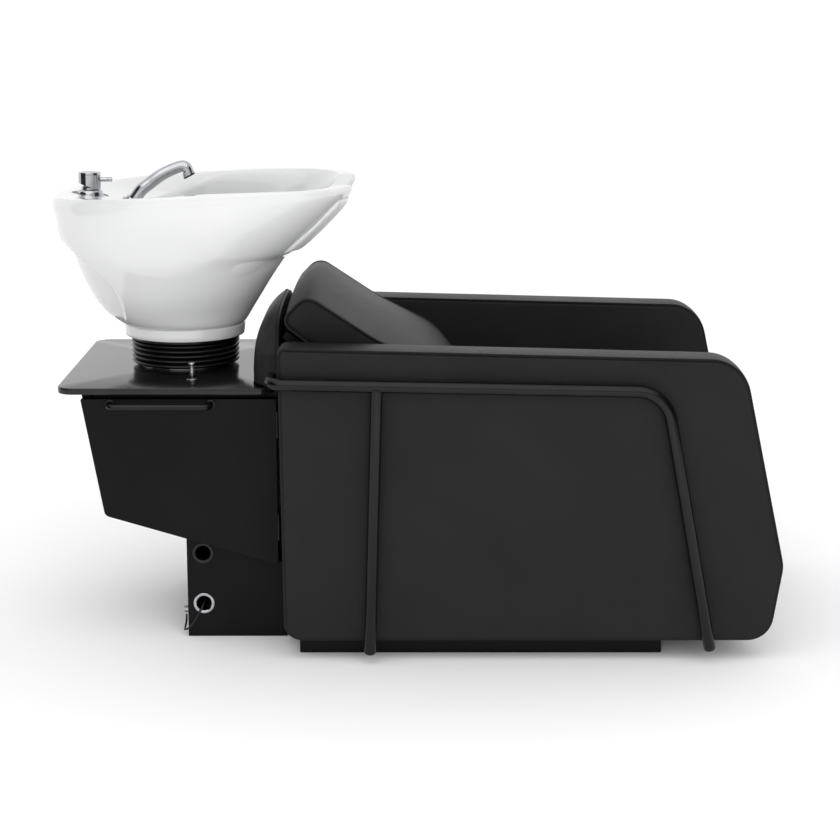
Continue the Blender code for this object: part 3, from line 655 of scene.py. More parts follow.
def makeArm(side, label):
    facts = armFacts
    outline = evenly(roundedOutline(facts["corners"], 16), facts["points"])
    centre = outline.mean(axis=0)
    rings = []
    section = armSection()
    middle = (facts["outer"] + facts["inner"]) / 2
    low, high = outline.min(axis=0), outline.max(axis=0)
    shares = (0.002, 0.10, 0.22, 0.36, 0.50, 0.63, 0.75, 0.85, 0.92, 0.965, 0.99)

    def panel(edge, y):
        # The side panels stand a little proud in their middles.
        made = []
        for share in shares:
            ring = centre + (edge - centre) * share
            u = (ring - low) / (high - low) * 2 - 1
            lift = facts["crown"] * (1 - u[:, 0] ** 4) * (1 - u[:, 1] ** 4) * (1 - share ** 12)
            made.append([(x, y + math.copysign(h, y - middle), z) for (x, z), h in zip(ring, lift)])
        return made

    rings += panel(inset(outline, section[0][0]), section[0][1])
    for d, y in section:
        rings.append([(x, y, z) for x, z in inset(outline, d)])
    rings += panel(inset(outline, section[-1][0]), section[-1][1])[::-1]
    rings = [[(x, side * y, z) for x, y, z in ring] for ring in rings]
    piece = lofted("armPad_" + label, rings)
    settleVinyl(piece, 0.0009, facts)
    settle(piece, "frame", "vinyl", replaced=("arm_" + label,))
    r = facts["roundness"]
    for edge, sign in (("outer", 1), ("inner", -1)):
        base = facts["outer"] if sign > 0 else facts["inner"]
        ring = inset(outline, softInset(math.radians(57), r - 0.0006))
        y = base - sign * (r - (r - 0.0006) * math.cos(math.radians(57)))
        path = [(x, side * y, z) for x, z in ring]
        path = [p for p in path if p[2] > 0.075 and (p[0] > 0.30 or p[2] > 0.5)]
        start = max(range(len(path)), key=lambda k: (Vector(path[k]) - Vector(path[k - 1])).length)
        path = path[start:] + path[:start]
        stitched("armStitch_" + label + "_" + edge, path, facts["stitchGap"], facts["stitchLength"],
                 facts["stitchThick"])


def settleVinyl(piece, depth, facts=None):
    # Small puckers that a tight cover always shows, kept off the outer box by pulling inwards only.
    points = getPoints(piece)
    normals = np.array([v.normal for v in piece.data.vertices])
    moved = points.copy()
    for k, point in enumerate(points):
        here = Vector(point)
        wide = noise.noise(here * 9.0) * 0.5 + 0.5
        fine = noise.noise(here * 34.0) * 0.5 + 0.5
        moved[k] = point - normals[k] * depth * (0.65 * wide + 0.20 * fine)
    setPoints(piece, moved)


for side, label in ((-1, "right"), (1, "left")):
    makeArm(side, label)
print("arms made")

# Bent tubes on the arms

tubeFacts = {
    "radius": 0.011, "across": 0.357, "behind": (-0.2505, 0.288, 0.5200), "rail": (0.4564, 0.5069),
    "leg": (0.5484, 0.0231), "postTop": (-0.0593, 0.5050), "postEnd": (-0.0735, 0.0155),
    "bends": (0.024, 0.065),
}


def makeSideTubes(side, label):
    facts = tubeFacts
    y = side * facts["across"]
    x0, y0, z0 = facts["behind"]
    corners = [((x0, side * y0, z0), 0), ((x0, y, z0), facts["bends"][0]),
               ((facts["rail"][0], y, facts["rail"][1]), facts["bends"][1]),
               ((facts["leg"][0], y, facts["leg"][1]), 0)]
    rail = tubed("railTube_" + label, bentPath(corners, 14), facts["radius"], "tube", 32, domed=True)
    settle(rail, "frame", "tube", replaced=("side_tube_" + label,))
    ends = [(facts["postTop"][0], y, facts["postTop"][1]), (facts["postEnd"][0], y, facts["postEnd"][1])]
    joint = Vector(ends[0]) + (Vector(ends[0]) - Vector(ends[1])).normalized() * 0.006
    post = tubed("postTube_" + label, [joint] + ends, facts["radius"], "tube", 32, domed="end")
    settle(post, "frame", "tube", replaced=("side_post_" + label,))
    # A fillet of weld runs round the post where it meets the rail.
    weld = []
    top = Vector(ends[0])
    for k in range(41):
        turn = 2 * math.pi * k / 40
        bead = 0.0106 + 0.0003 * math.sin(turn * 9)
        weld.append(top + Vector((bead * math.cos(turn), bead * math.sin(turn) * 0.94,
                                  -0.0006 + 0.0052 * math.sin(turn) ** 2)))
    bead = tubed("weldBead_" + label, weld[:-1], 0.0014, "tube", 12, closed=True)
    settle(bead, "frame", "tube")


for side, label in ((-1, "right"), (1, "left")):
    makeSideTubes(side, label)
print("tubes made")

# Cushions

seatFacts = {
    "outline": [(0.0620, 0.3030, 0.010), (0.6140, 0.3030, 0.016), (0.6220, 0.4060, 0.034),
                (0.1280, 0.4200, 0.016), (0.0720, 0.3760, 0.014)],
    "half": 0.2500, "limits": ((0.058, 0.6255), 0.2612, (0.3026, 0.4400)), "pressure": 4.5, "cap": 0.016,
}
backFacts = {
    "outline": [(-0.2380, 0.6140, 0.020), (-0.1890, 0.6640, 0.028), (-0.0660, 0.5830, 0.25),
                (0.0480, 0.5270, 0.12), (0.1130, 0.4380, 0.024), (0.0880, 0.4030, 0.014),
                (0.0300, 0.4060, 0.024)],
    "half": 0.2440, "limits": ((-0.2560, 0.1400), 0.2560, (0.3950, 0.6900)), "pressure": 4.5, "cap": 0.013,
}
clothFacts = {"voxel": 0.0065, "frames": 20, "mass": 0.25, "stiffness": 18, "bending": 1.2}


def crownAt(across, half, power=2.8):
    return max(0.0, 1 - abs(across / half) ** power)


def inflated(piece, pinned, pressure, cap):
    # Swells the cover between its seams, then takes the shape and drops the simulation.
    before = getPoints(piece).copy()
    group = piece.vertex_groups.new(name="seams")
    for index, weight in enumerate(pinned):
        if weight > 0:
            group.add([index], float(weight), "REPLACE")
    cloth = piece.modifiers.new("padding", "CLOTH")
    settings = cloth.settings
    settings.quality = 4
    settings.mass = clothFacts["mass"]
    settings.tension_stiffness = clothFacts["stiffness"]
    settings.compression_stiffness = clothFacts["stiffness"]
    settings.shear_stiffness = 6
    settings.bending_stiffness = clothFacts["bending"]
    settings.use_pressure = True
    settings.uniform_pressure_force = pressure
    settings.effector_weights.gravity = 0
    settings.vertex_group_mass = "seams"
    settings.pin_stiffness = 1
    cloth.collision_settings.use_collision = False
    cloth.collision_settings.use_self_collision = False
    cloth.point_cache.frame_start = 1
    cloth.point_cache.frame_end = clothFacts["frames"]
    for step in range(1, clothFacts["frames"] + 1):
        scene.frame_set(step)
    shaped = piece.evaluated_get(bpy.context.evaluated_depsgraph_get())
    after = np.empty(len(shaped.data.vertices) * 3, dtype=np.float32)
    shaped.data.vertices.foreach_get("co", after)
    after = after.reshape(-1, 3)
    piece.modifiers.remove(cloth)
    scene.frame_set(1)
    step = after - before
    length = np.linalg.norm(step, axis=1)
    share = np.where(length > 1e-9, np.tanh(length / cap) * cap / np.maximum(length, 1e-9), 1.0)
    setPoints(piece, before + step * share[:, None])


def cushionCover(name, facts, crown):
    # A box cushion: the outline across the seat, side panels, and seams that stay where they are pinned.
    outline = evenly(roundedOutline(facts["outline"], 10), 220)
    half = facts["half"]
    centre = outline.mean(axis=0)
    rings = []
    sideShares = (0.02, 0.2, 0.4, 0.6, 0.78, 0.9, 0.97)
    for share in sideShares:
        rings.append([(x, -half, z) for x, z in centre + (outline - centre) * share])
    for k in range(0, 49):
        y = half * math.sin(math.pi / 2 * (k - 24) / 24 * 0.999)
        ring = []
        swell = crownAt(y, half)
        for (x, z), (u, v) in zip(outline, inset(outline, -1.0)):
            outward = Vector((u - x, v - z))
            lift = crown(x, z, outward) * swell
            ring.append((x + outward.x * lift, y, z + outward.y * lift))
        rings.append(ring)
    for share in sideShares[::-1]:
        rings.append([(x, half, z) for x, z in centre + (outline - centre) * share])
    piece = lofted(name, rings)
    piece.data.remesh_voxel_size = clothFacts["voxel"]
    bpy.ops.object.select_all(action="DESELECT")
    bpy.context.view_layer.objects.active = piece
    piece.select_set(True)
    bpy.ops.object.voxel_remesh()
    points = getPoints(piece)
    flat = points[:, [0, 2]]
    pinned = np.zeros(len(points))
    near = np.abs(np.abs(points[:, 1]) - half) < 0.0060
    for k in np.nonzero(near)[0]:
        distance = np.min(np.linalg.norm(outline - flat[k], axis=1))
        if distance < 0.0065:
            pinned[k] = 1.0
    inflated(piece, pinned, facts["pressure"], facts["cap"])
    points = getPoints(piece)
    (x0, x1), y1, (z0, z1) = facts["limits"]
    points[:, 0] = np.clip(points[:, 0], x0, x1)
    points[:, 1] = np.clip(points[:, 1], -y1, y1)
    points[:, 2] = np.clip(points[:, 2], z0, z1)
    setPoints(piece, points)
    modify(piece, "SMOOTH", {"factor": 0.5, "iterations": 4})
    modify(piece, "SUBSURF", {"levels": 1, "render_levels": 1})
    return piece, outline


def piping(name, outline, y, radius, keep=None, body="frame"):
    path = [(x, y, z) for x, z in outline if keep is None or keep(x, z)]
    cord = tubed(name, path, radius, "vinyl", 16, closed=keep is None)
    return settle(cord, body, "vinyl")


def makeSeat():
    facts = seatFacts

    def crown(x, z, outward):
        return 0.010 * max(0.0, outward.y) ** 2 + 0.003 * max(0.0, outward.x)

    piece, outline = cushionCover("seatPad", facts, crown)
    settle(piece, "frame", "vinyl", replaced=("seat_cushion",))
    for side, label in ((-1, "right"), (1, "left")):
        welt = piping("seatPiping_" + label, outline, side * (facts["half"] + 0.0015), 0.0024)
        points = getPoints(welt)
        points[:, 2] = np.maximum(points[:, 2], 0.3026)
        setPoints(welt, points)


def makeBack():
    facts = backFacts

    def crown(x, z, outward):
        facing = outward.x * 0.55 + outward.y * 0.83
        return 0.012 * max(0.0, facing) + 0.004 * max(0.0, -outward.x)

    piece, outline = cushionCover("backPad", facts, crown)
    settle(piece, "frame", "vinyl", replaced=("back_cushion",))
    for side, label in ((-1, "right"), (1, "left")):
        outer = inset(outline, 0.0010)
        piping("backPiping_" + label, outer, side * (facts["half"] + 0.0012), 0.0024)


makeSeat()
makeBack()
print("cushions made")

# Padded shell behind the back, and the panel under the seat's front edge

shellFacts = {
    "rear": [(-0.2420, 0.6190), (-0.2500, 0.6195), (-0.2600, 0.6130), (-0.2700, 0.6030), (-0.2831, 0.5850),
             (-0.2900, 0.5660), (-0.2935, 0.5420), (-0.2953, 0.5150), (-0.2945, 0.5010), (-0.2900, 0.4955)],
    "front": [(-0.2400, 0.4950), (-0.2396, 0.5600), (-0.2388, 0.6050)],
    "half": 0.2530,
}


def shellDepth(share):
    return 0.10 + 0.90 * (1 - abs(share) ** 3.6) ** 0.75


def shellFall(share, height):
    # The upper corners are rounded off, seen from behind.
    upper = max(0.0, (height - 0.5400) / 0.0795)
    return 0.094 * upper ** 1.5 * abs(share) ** 2.8


def makeShell():
    facts = shellFacts
    loop = [Vector(p) for p in facts["rear"] + facts["front"]]
    rings = []
    for k in range(-30, 31):
        share = k / 30
        y = facts["half"] * math.sin(share * math.pi / 2)
        keep = shellDepth(share)
        knots = [Vector((-0.2400 + (p.x + 0.2400) * keep, 0, p.y - shellFall(share, p.y))) for p in loop]
        curve = smoothPath(knots + [knots[0]], 0.004)[:-1]
        ring = evenly([(p.x, p.z) for p in curve], 90)
        rings.append([(x, y, z) for x, z in ring])
    piece = lofted("shellPad", rings, angle=60)
    settleVinyl(piece, 0.0012)
    settle(piece, "frame", "vinyl", replaced=("back_shell",))
    path = []
    for k in range(-24, 25):
        share = k / 24
        across = facts["half"] * math.sin(share * math.pi / 2) * 0.998
        path.append((-0.2405 - 0.0085 * shellDepth(share), across, 0.6188 - shellFall(share, 0.6188)))
    welt = tubed("shellPiping", path, 0.0022, "vinyl", 16, domed=True)
    settle(welt, "frame", "vinyl")


frontFacts = {"low": (0.6127, -0.2585, 0.0502), "high": (0.6365, 0.2585, 0.2975), "edge": 0.009}


def makeFrontPanel():
    facts = frontFacts
    low, high = Vector(facts["low"]), Vector(facts["high"])
    bpy.ops.object.select_all(action="DESELECT")
    bpy.ops.mesh.primitive_cube_add(size=1, location=(low + high) / 2, scale=high - low)
    piece = named("frontPad")
    bpy.ops.object.transform_apply(location=True, rotation=True, scale=True)
    modify(piece, "BEVEL", {"width": facts["edge"], "segments": 5})
    editAll(piece)
    bpy.ops.mesh.select_all(action="DESELECT")
    leaveEdit()
    for face in piece.data.polygons:
        face.select = face.normal.x > 0.99
    editAllKeep(piece)
    bpy.ops.mesh.inset(thickness=0.030, depth=0)
    bpy.ops.mesh.inset(thickness=0.040, depth=0.0010)
    leaveEdit()
    points = getPoints(piece)
    points[:, 0] = np.minimum(points[:, 0], facts["high"][0] + 0.0004)
    setPoints(piece, points)
    smoothed(piece, 50)
    settle(piece, "frame", "vinyl", replaced=("front_panel",))


def editAllKeep(piece):
    # Into edit mode with the faces that the code picked still selected.
    bpy.ops.object.select_all(action="DESELECT")
    bpy.context.view_layer.objects.active = piece
    piece.select_set(True)
    bpy.ops.object.mode_set(mode="EDIT")


makeShell()
makeFrontPanel()
print("shell and front panel made")

# Cabinet fittings

worktopFacts = {"x": (-0.6488, -0.2492), "half": 0.2543, "z": (0.4801, 0.4919), "corner": 0.030,
                "edge": 0.0016,
                "hole": 0.046, "axis": -0.437}


def makeWorktop():
    facts = worktopFacts
    (x0, x1), half, r = facts["x"], facts["half"], facts["corner"]
    outline = evenly(roundedOutline([(x0, -half, r), (x1, -half, r), (x1, half, r), (x0, half, r)], 16), 240)
    hole = []
    for x, y in outline:
        turn = math.atan2(y, x - facts["axis"])
        hole.append((facts["axis"] + facts["hole"] * math.cos(turn), facts["hole"] * math.sin(turn)))
    hole = np.array(hole)
    low, high = facts["z"]
    e = facts["edge"]
    rings = [[(x, y, low) for x, y in hole], [(x, y, low) for x, y in inset(outline, e)]]
    for k in range(1, 5):
        turn = math.pi / 2 * k / 4
        rings.append([(x, y, low + e - e * math.cos(turn)) for x,
                      y in inset(outline, e - e * math.sin(turn))])
    for k in range(0, 5):
        turn = math.pi / 2 * k / 4
        rings.append([(x, y, high - e + e * math.sin(turn)) for x,
                      y in inset(outline, e - e * math.cos(turn))])
    rings.append([(x, y, high) for x, y in hole])
    piece = lofted("worktop", rings, endless=True, angle=25)
    settle(piece, "frame", "countertop", replaced=("countertop",))


handleFacts = {"x": (-0.5535, -0.3675), "z": 0.4590, "wall": -0.2353, "out": -0.2650, "radius": 0.0060}


def makeHandle():
    facts = handleFacts
    (x0, x1), z = facts["x"], facts["z"]
    path = bentPath([((x0, facts["wall"], z), 0), ((x0, facts["out"], z), 0.012),
                     ((x1, facts["out"], z), 0.012),
                     ((x1, facts["wall"], z), 0)], 12)
    bar = tubed("doorHandle", path, facts["radius"], "tube", 24)
    settle(bar, "door", "tube", replaced=("door_handle",))
    for x, label in ((x0, "rear"), (x1, "front")):
        rose = spun("handleRose_" + label,
                    [(0.0062, 0.0001), (0.0092, 0.0001), (0.0090, 0.0014), (0.0080, 0.0020),
                     (0.0062, 0.0024)],
                    (x, facts["wall"] - 0.0000, z), (0, -1, 0), 32)
        settle(rose, "door", "tube")


def makeTubesOfPlumbing():
    bx = -0.437
    outlet = [(bx + 0.0345, 0, 0.428), (-0.375, 0, 0.426), (-0.335, 0, 0.405), (-0.322, 0, 0.360),
              (-0.320, 0, 0.250), (-0.320, 0, 0.150), (-0.320, 0, 0.060)]
    pipe = tubed("wastePipe", smoothPath(outlet, 0.008), 0.0158, "plastic", 28)
    settle(pipe, "frame", "plastic", replaced=("waste_pipe",))
    trap = [(0.0005, 0.3500), (0.0290, 0.3500), (0.0335, 0.3540), (0.0338, 0.3800), (0.0318, 0.3815),
            (0.0318, 0.3835),
            (0.0338, 0.3850), (0.0338, 0.4380), (0.0312, 0.4400), (0.0312, 0.4420), (0.0339, 0.4440),
            (0.0339, 0.4590),
            (0.0310, 0.4648), (0.0262, 0.4648), (0.0262, 0.3800), (0.0005, 0.3780)]
    body = spun("wasteTrap", trap, (bx, 0, 0), steps=48)
    settle(body, "frame", "plastic", replaced=("waste_trap",))
    for side, label in ((-1, "hot"), (1, "cold")):
        hose = [(bx, side * 0.0370, 0.491), (bx, side * 0.0385, 0.474), (bx - 0.002, side * 0.050, 0.435),
                (bx + 0.020, side * 0.065, 0.360), (-0.370, side * 0.082, 0.270),
                (-0.3560, side * 0.073, 0.205),
                (-0.3535, side * 0.070, 0.160), (-0.3535, side * 0.070, 0.1264)]
        made = tubed(label + "Hose", smoothPath(hose, 0.008), 0.0057, "braid", 20)
        settle(made, "frame", "zinc", "braid", replaced=(label + "_hose",))


portFacts = {"x": -0.3917, "face": -0.200,
             "heights": (("upper", 0.1642, "plastic"), ("lower", 0.0655, "chrome")),
             "ring": [(0.0172, -0.0140), (0.0172, 0.0003), (0.0200, 0.0003), (0.0202, 0.0010),
                      (0.0196, 0.0022),
                      (0.0180, 0.0028), (0.0162, 0.0028), (0.0147, 0.0018), (0.0145, 0.0005),
                      (0.0145, -0.0140)]}


def makePorts():
    facts = portFacts
    for label, z, look in facts["heights"]:
        ring = spun("portRing_" + label, facts["ring"], (facts["x"], facts["face"], z), (0, -1, 0), 48,
                    openProfile=False)
        settle(ring, "frame", look, replaced=("port_ring_" + label,))
    px, rear = facts["x"], -0.4223
    wire = [(px + 0.002, -0.150, 0.078), (px + 0.001, -0.178, 0.070), (px, -0.196, 0.066),
            (px - 0.004, -0.2060, 0.057),
            (px - 0.015, -0.2075, 0.038), (px - 0.027, -0.2065, 0.020), (rear - 0.007, -0.1990, 0.0125),
            (rear - 0.0085, -0.184, 0.0125), (rear - 0.0075, -0.170, 0.020), (rear - 0.0078, -0.160, 0.030)]
    made = tubed("bondingWire", smoothPath(wire, 0.003), 0.0019, "plastic", 16)
    settle(made, "frame", "plastic", replaced=("bonding_wire",))


makeWorktop()
makeHandle()
makeTubesOfPlumbing()
makePorts()
print("cabinet fittings made")


# Basin

basinFacts = {
    "axis": -0.437, "neckDip": 0.070, "neckHalf": 0.105, "points": 216, "steps": 5,
    # Each level: rear x and z, front x and z, half width, roundness, share of the neck dip, rim rule
    "outside": [
        (-0.5524, 0.5740, -0.3216, 0.5740, 0.1154, 2.0, 0.0, 0),
        (-0.5650, 0.5800, -0.3155, 0.5815, 0.1245, 2.0, 0.0, 0),
        (-0.5940, 0.5990, -0.3010, 0.6060, 0.1405, 2.0, 0.0, 0),
        (-0.6190, 0.6310, -0.2800, 0.6400, 0.1650, 2.05, 0.0, 0),
        (-0.6400, 0.6700, -0.2560, 0.6770, 0.1895, 2.1, 0.0, 0),
        (-0.6585, 0.7110, -0.2345, 0.7060, 0.2105, 2.2, 0.0, 0),
        (-0.6690, 0.7430, -0.2140, 0.7220, 0.2196, 2.3, 0.05, 0),
        (-0.6755, 0.7850, -0.1580, 0.7770, 0.2350, 2.35, 0.50, 0),
        (-0.6805, 0.8080, -0.1100, 0.8270, 0.2410, 2.4, 0.92, 0),
        (-0.6783, 0.8170, -0.1035, 0.8405, 0.2418, 2.4, 1.0, 0),
        (-0.6720, 0.8212, -0.1060, 0.8452, 0.2400, 2.4, 1.0, 1),
        (-0.6640, 0.8222, -0.1110, 0.8465, 0.2370, 2.4, 1.0, 1)],
    "deck": [
        (-0.6640, 0.8222, -0.1110, 0.8465, 0.2370, 2.4, 1.0, 1),
        (-0.6500, 0.8190, -0.1150, 0.8472, 0.2335, 2.42, 1.0, 1),
        (-0.5020, 0.8000, -0.1360, 0.8475, 0.2210, 2.5, 1.0, 2)],
    "bowl": [
        (-0.5020, 0.8000, -0.1360, 0.8475, 0.2210, 2.5, 1.0, 2),
        (-0.4970, 0.7900, -0.1440, 0.8350, 0.2130, 2.5, 0.95, 3),
        (-0.4930, 0.7450, -0.1950, 0.7750, 0.2020, 2.4, 0.45, 0),
        (-0.4900, 0.6850, -0.2480, 0.7000, 0.1780, 2.2, 0.0, 0),
        (-0.4850, 0.6350, -0.3050, 0.6400, 0.1280, 2.1, 0.0, 0),
        (-0.4800, 0.6075, -0.3850, 0.6080, 0.0560, 2.0, 0.0, 0),
        (-0.4790, 0.6035, -0.3950, 0.6035, 0.0420, 2.0, 0.0, 0)],
    "bore": [
        (-0.4675, 0.6030, -0.4065, 0.6030, 0.0305, 2.0, 0.0, 0),
        (-0.4675, 0.5512, -0.4065, 0.5512, 0.0305, 2.0, 0.0, 0)],
    # The foot ring, from its seat upwards: radius and height
    "foot": [(0.1110, 0.5512), (0.1136, 0.5518), (0.1146, 0.5532), (0.1154, 0.5600), (0.1160, 0.5690),
             (0.1163, 0.5722), (0.1160, 0.5736)],
    # Cut-away of the skirt under the rear lip: height, depth in the middle, depth at its edge, edge angle
    "scoop": [(0.5745, 0.0000, 0.0000, 0.66), (0.5850, 0.0020, 0.0050, 0.72), (0.6050, 0.0050, 0.0120, 0.84),
              (0.6350, 0.0075, 0.0180, 0.92), (0.6680, 0.0095, 0.0210, 0.90), (0.6980, 0.0130, 0.0210, 0.78),
              (0.7200, 0.0150, 0.0190, 0.63), (0.7335, 0.0150, 0.0150, 0.52), (0.7420, 0.0000, 0.0000, 0.46)],
}


def rimLine(x):
    share = min(max((x + 0.672) / 0.50, 0.0), 1.0)
    return 0.8225 + 0.0253 * math.sin(share * math.pi / 2)


def neckDip(y):
    facts = basinFacts
    if abs(y) >= facts["neckHalf"]:
        return 0.0
    return facts["neckDip"] * (0.5 + 0.5 * math.cos(math.pi * y / facts["neckHalf"])) ** 0.7


def basinPoint(level, angle):
    rearX, rearZ, frontX, frontZ, half, power, dip, follow = level
    c, s = math.cos(angle), math.sin(angle)
    if c > 0:
        power += math.sqrt(dip)
    middle, reach = (rearX + frontX) / 2, (frontX - rearX) / 2
    x = middle + reach * math.copysign(abs(c) ** (2 / power), c)
    y = half * math.copysign(abs(s) ** (2 / power), s)
    share = (x - rearX) / (frontX - rearX)
    z = rearZ + (frontZ - rearZ) * share
    if follow == 1:
        z = min(rimLine(x), 0.8480)
    if follow >= 2:
        deck = min(max((-0.370 - x) / 0.125, 0.0), 1.0)
        deck = deck * deck * (3 - 2 * deck)
        z = rimLine(x) - 0.031 * deck - (0.010 if follow == 3 else 0.0)
    if c > 0:
        drop = neckDip(y) * dip
        z -= drop
        x -= drop * 0.95
    return (x, y, z)


def basinAngles():
    count = basinFacts["points"]
    shares = [2 * k / count - 1 for k in range(count)]
    return [math.pi * math.copysign(abs(t) ** 1.22, t) for t in shares]


def eased(rows, steps):
    # Rings between the given rings, on a curve through each point of the rings in turn.
    rows = [np.array(row, float) for row in rows]
    made = []
    wide = [2 * rows[0] - rows[1]] + rows + [2 * rows[-1] - rows[-2]]
    for a, b, c, d in zip(wide, wide[1:], wide[2:], wide[3:]):
        gaps = [np.maximum(np.linalg.norm(q - p, axis=1), 1e-5)[:, None] ** 0.5 for p,
                q in ((a, b), (b, c), (c, d))]
        t1, t2, t3 = gaps[0], gaps[0] + gaps[1], gaps[0] + gaps[1] + gaps[2]
        for k in range(steps):
            t = t1 + (t2 - t1) * k / steps
            p1 = a + (b - a) * t / t1
            p2 = b + (c - b) * (t - t1) / gaps[1]
            p3 = c + (d - c) * (t - t2) / gaps[2]
            q1 = p1 + (p2 - p1) * t / t2
            q2 = p2 + (p3 - p2) * (t - t1) / (t3 - t1)
            made.append(q1 + (q2 - q1) * (t - t1) / gaps[1])
    return made + [rows[-1]]


def scooped(ring):
    # Draws the rear of a ring inwards up to the cut edge of the skirt, deepest just inside that edge.
    table = basinFacts["scoop"]
    heights = [row[0] for row in table]
    made = []
    for x, y, z in ring:
        middle = np.interp(z, heights, [row[1] for row in table], 0.0, 0.0)
        deepest = np.interp(z, heights, [row[2] for row in table], 0.0, 0.0)
        edge = np.interp(z, heights, [row[3] for row in table])
        share = abs(math.atan2(y, -(x - basinFacts["axis"]))) / edge
        if deepest > 0 and share < 1.05:
            rise = min(max((share - 0.15) / 0.65, 0.0), 1.0)
            fall = min(max((1.05 - share) / 0.15, 0.0), 1.0)
            pull = (middle + (deepest - middle) * rise * rise * (3 - 2 * rise)) * fall * fall * (3 - 2 * fall)
            out = Vector((x - basinFacts["axis"], y)).normalized()
            x, y = x - out.x * pull, y - out.y * pull
        made.append((x, y, z))
    return made


def basinRings(part, steps):
    return eased([[basinPoint(level, a) for a in basinAngles()] for level in basinFacts[part]], steps)


def slanted(profile, foot, slope, steps, name, openProfile=False):
    a = math.radians(slope)
    return spun(name, profile, foot, (math.cos(a), 0, math.sin(a)), steps, openProfile=openProfile)


sprayFacts = {"foot": (-0.5330, 0, 0.8050), "slope": 52}
mixerFacts = {"x": -0.6132, "foot": 0.8128, "pivot": 0.8375, "top": 0.8622}


def makeBasin():
    facts = basinFacts
    axis = facts["axis"]
    angles = basinAngles()
    foot = [[(axis + r * math.cos(a), r * math.sin(a), z) for a in angles] for r, z in facts["foot"]]
    outside = [scooped(ring) for ring in basinRings("outside", facts["steps"])]
    deck = basinRings("deck", 6)
    bowl = basinRings("bowl", facts["steps"])
    bore = [[basinPoint(level, a) for a in angles] for level in facts["bore"]]
    rings = foot + outside + deck[1:] + bowl[1:] + bore
    piece = lofted("basinBowl", [[tuple(p) for p in ring] for ring in rings], endless=True, angle=50)
    seat = spun("mixerSeatCutter",
                [(0.0005, mixerFacts["foot"]), (0.0350, mixerFacts["foot"]), (0.0350, 0.87), (0.0005, 0.87)],
                (mixerFacts["x"], 0, 0), steps=64)
    pocket = slanted([(0.0005, -0.0185), (0.0199, -0.0185), (0.0199, 0.05), (0.0005, 0.05)],
                     sprayFacts["foot"],
                     sprayFacts["slope"], 48, "sprayPocketCutter", True)
    for cutter in (seat, pocket):
        modify(piece, "BOOLEAN", {"operation": "DIFFERENCE", "solver": "EXACT", "object": cutter})
        bpy.data.objects.remove(cutter, do_unlink=True)
    smoothed(piece, 38)
    settle(piece, "basin_unit", "glaze", replaced=("basin",))


def makeNeckRest():
    levels = basinFacts["outside"][6:10]
    count, spread, rows = 72, 0.50, 20
    rings = []
    for k in range(count + 1):
        share = 2 * k / count - 1
        angle = spread * share
        line = eased([[basinPoint(level, angle)] for level in levels[:3]], rows // 2)
        near = eased([[basinPoint(level, angle + 0.008)] for level in levels[:3]], rows // 2)
        far = eased([[basinPoint(level, angle - 0.008)] for level in levels[:3]], rows // 2)
        inside, outside = [], []
        ends = max(0.0, 1 - abs(share) ** 14) ** 0.5
        for j, (p, q, r) in enumerate(zip(line, near, far)):
            across = Vector(q[0]) - Vector(r[0])
            normal = across.cross(Vector((0.70, 0, 0.71))).normalized()
            level = j / (len(line) - 1)
            edge = max(0.0, 1 - abs(2 * level - 1) ** 7) ** 0.5
            rib = 0.00035 * math.cos(level * math.pi * 14) * edge * ends
            lift = 0.0011 + 0.0062 * edge * ends * (0.86 + 0.14 * level) + rib
            inside.append(Vector(p[0]) + normal * 0.0007)
            outside.append(Vector(p[0]) + normal * lift)
        rings.append([tuple(p) for p in inside + outside[::-1]])
    piece = lofted("neckPad", rings, angle=60)
    settle(piece, "basin_unit", "gel", replaced=("neck_rest",))


def makeDrain():
    centre = (basinFacts["axis"], 0, 0)
    drain = [(0.0295, 0.5560), (0.0295, 0.6040), (0.0398, 0.6040), (0.0403, 0.6046), (0.0400, 0.6054),
             (0.0380, 0.6060),
             (0.0300, 0.6062), (0.0285, 0.6058), (0.0272, 0.6040), (0.0255, 0.6000), (0.0190, 0.5950),
             (0.0190, 0.5100),
             (0.0215, 0.5100), (0.0215, 0.5560)]
    fitting = spun("drainFitting", drain, centre, steps=64, openProfile=False)
    settle(fitting, "basin_unit", "chrome", replaced=("drain_fitting",))
    cap = [(0.0004, 0.6010), (0.0180, 0.6010), (0.0225, 0.6022), (0.0240, 0.6036), (0.0243, 0.6050),
           (0.0238, 0.6064),
           (0.0215, 0.6082), (0.0172, 0.6104), (0.0120, 0.6122), (0.0060, 0.6134), (0.0004, 0.6137)]
    strainer = spun("hairStrainer", cap, centre, steps=64)
    bpy.ops.object.select_all(action="DESELECT")
    drills = []
    for radius, many in ((0.0075, 6), (0.0150, 12)):
        for k in range(many):
            turn = 2 * math.pi * k / many
            at = (centre[0] + radius * math.cos(turn), radius * math.sin(turn), 0.6075)
            bpy.ops.mesh.primitive_cylinder_add(vertices=12, radius=0.0019, depth=0.016, location=at)
            drills.append(bpy.context.object)
    bpy.ops.object.select_all(action="DESELECT")
    for drill in drills:
        drill.select_set(True)
    bpy.context.view_layer.objects.active = drills[0]
    bpy.ops.object.join()
    cutter = bpy.context.object
    bpy.ops.object.transform_apply(location=True, rotation=True, scale=True)
    modify(strainer, "BOOLEAN", {"operation": "DIFFERENCE", "solver": "EXACT", "object": cutter})
    bpy.data.objects.remove(cutter, do_unlink=True)
    smoothed(strainer, 30)
    settle(strainer, "strainer", "chrome", replaced=("hair_strainer",))


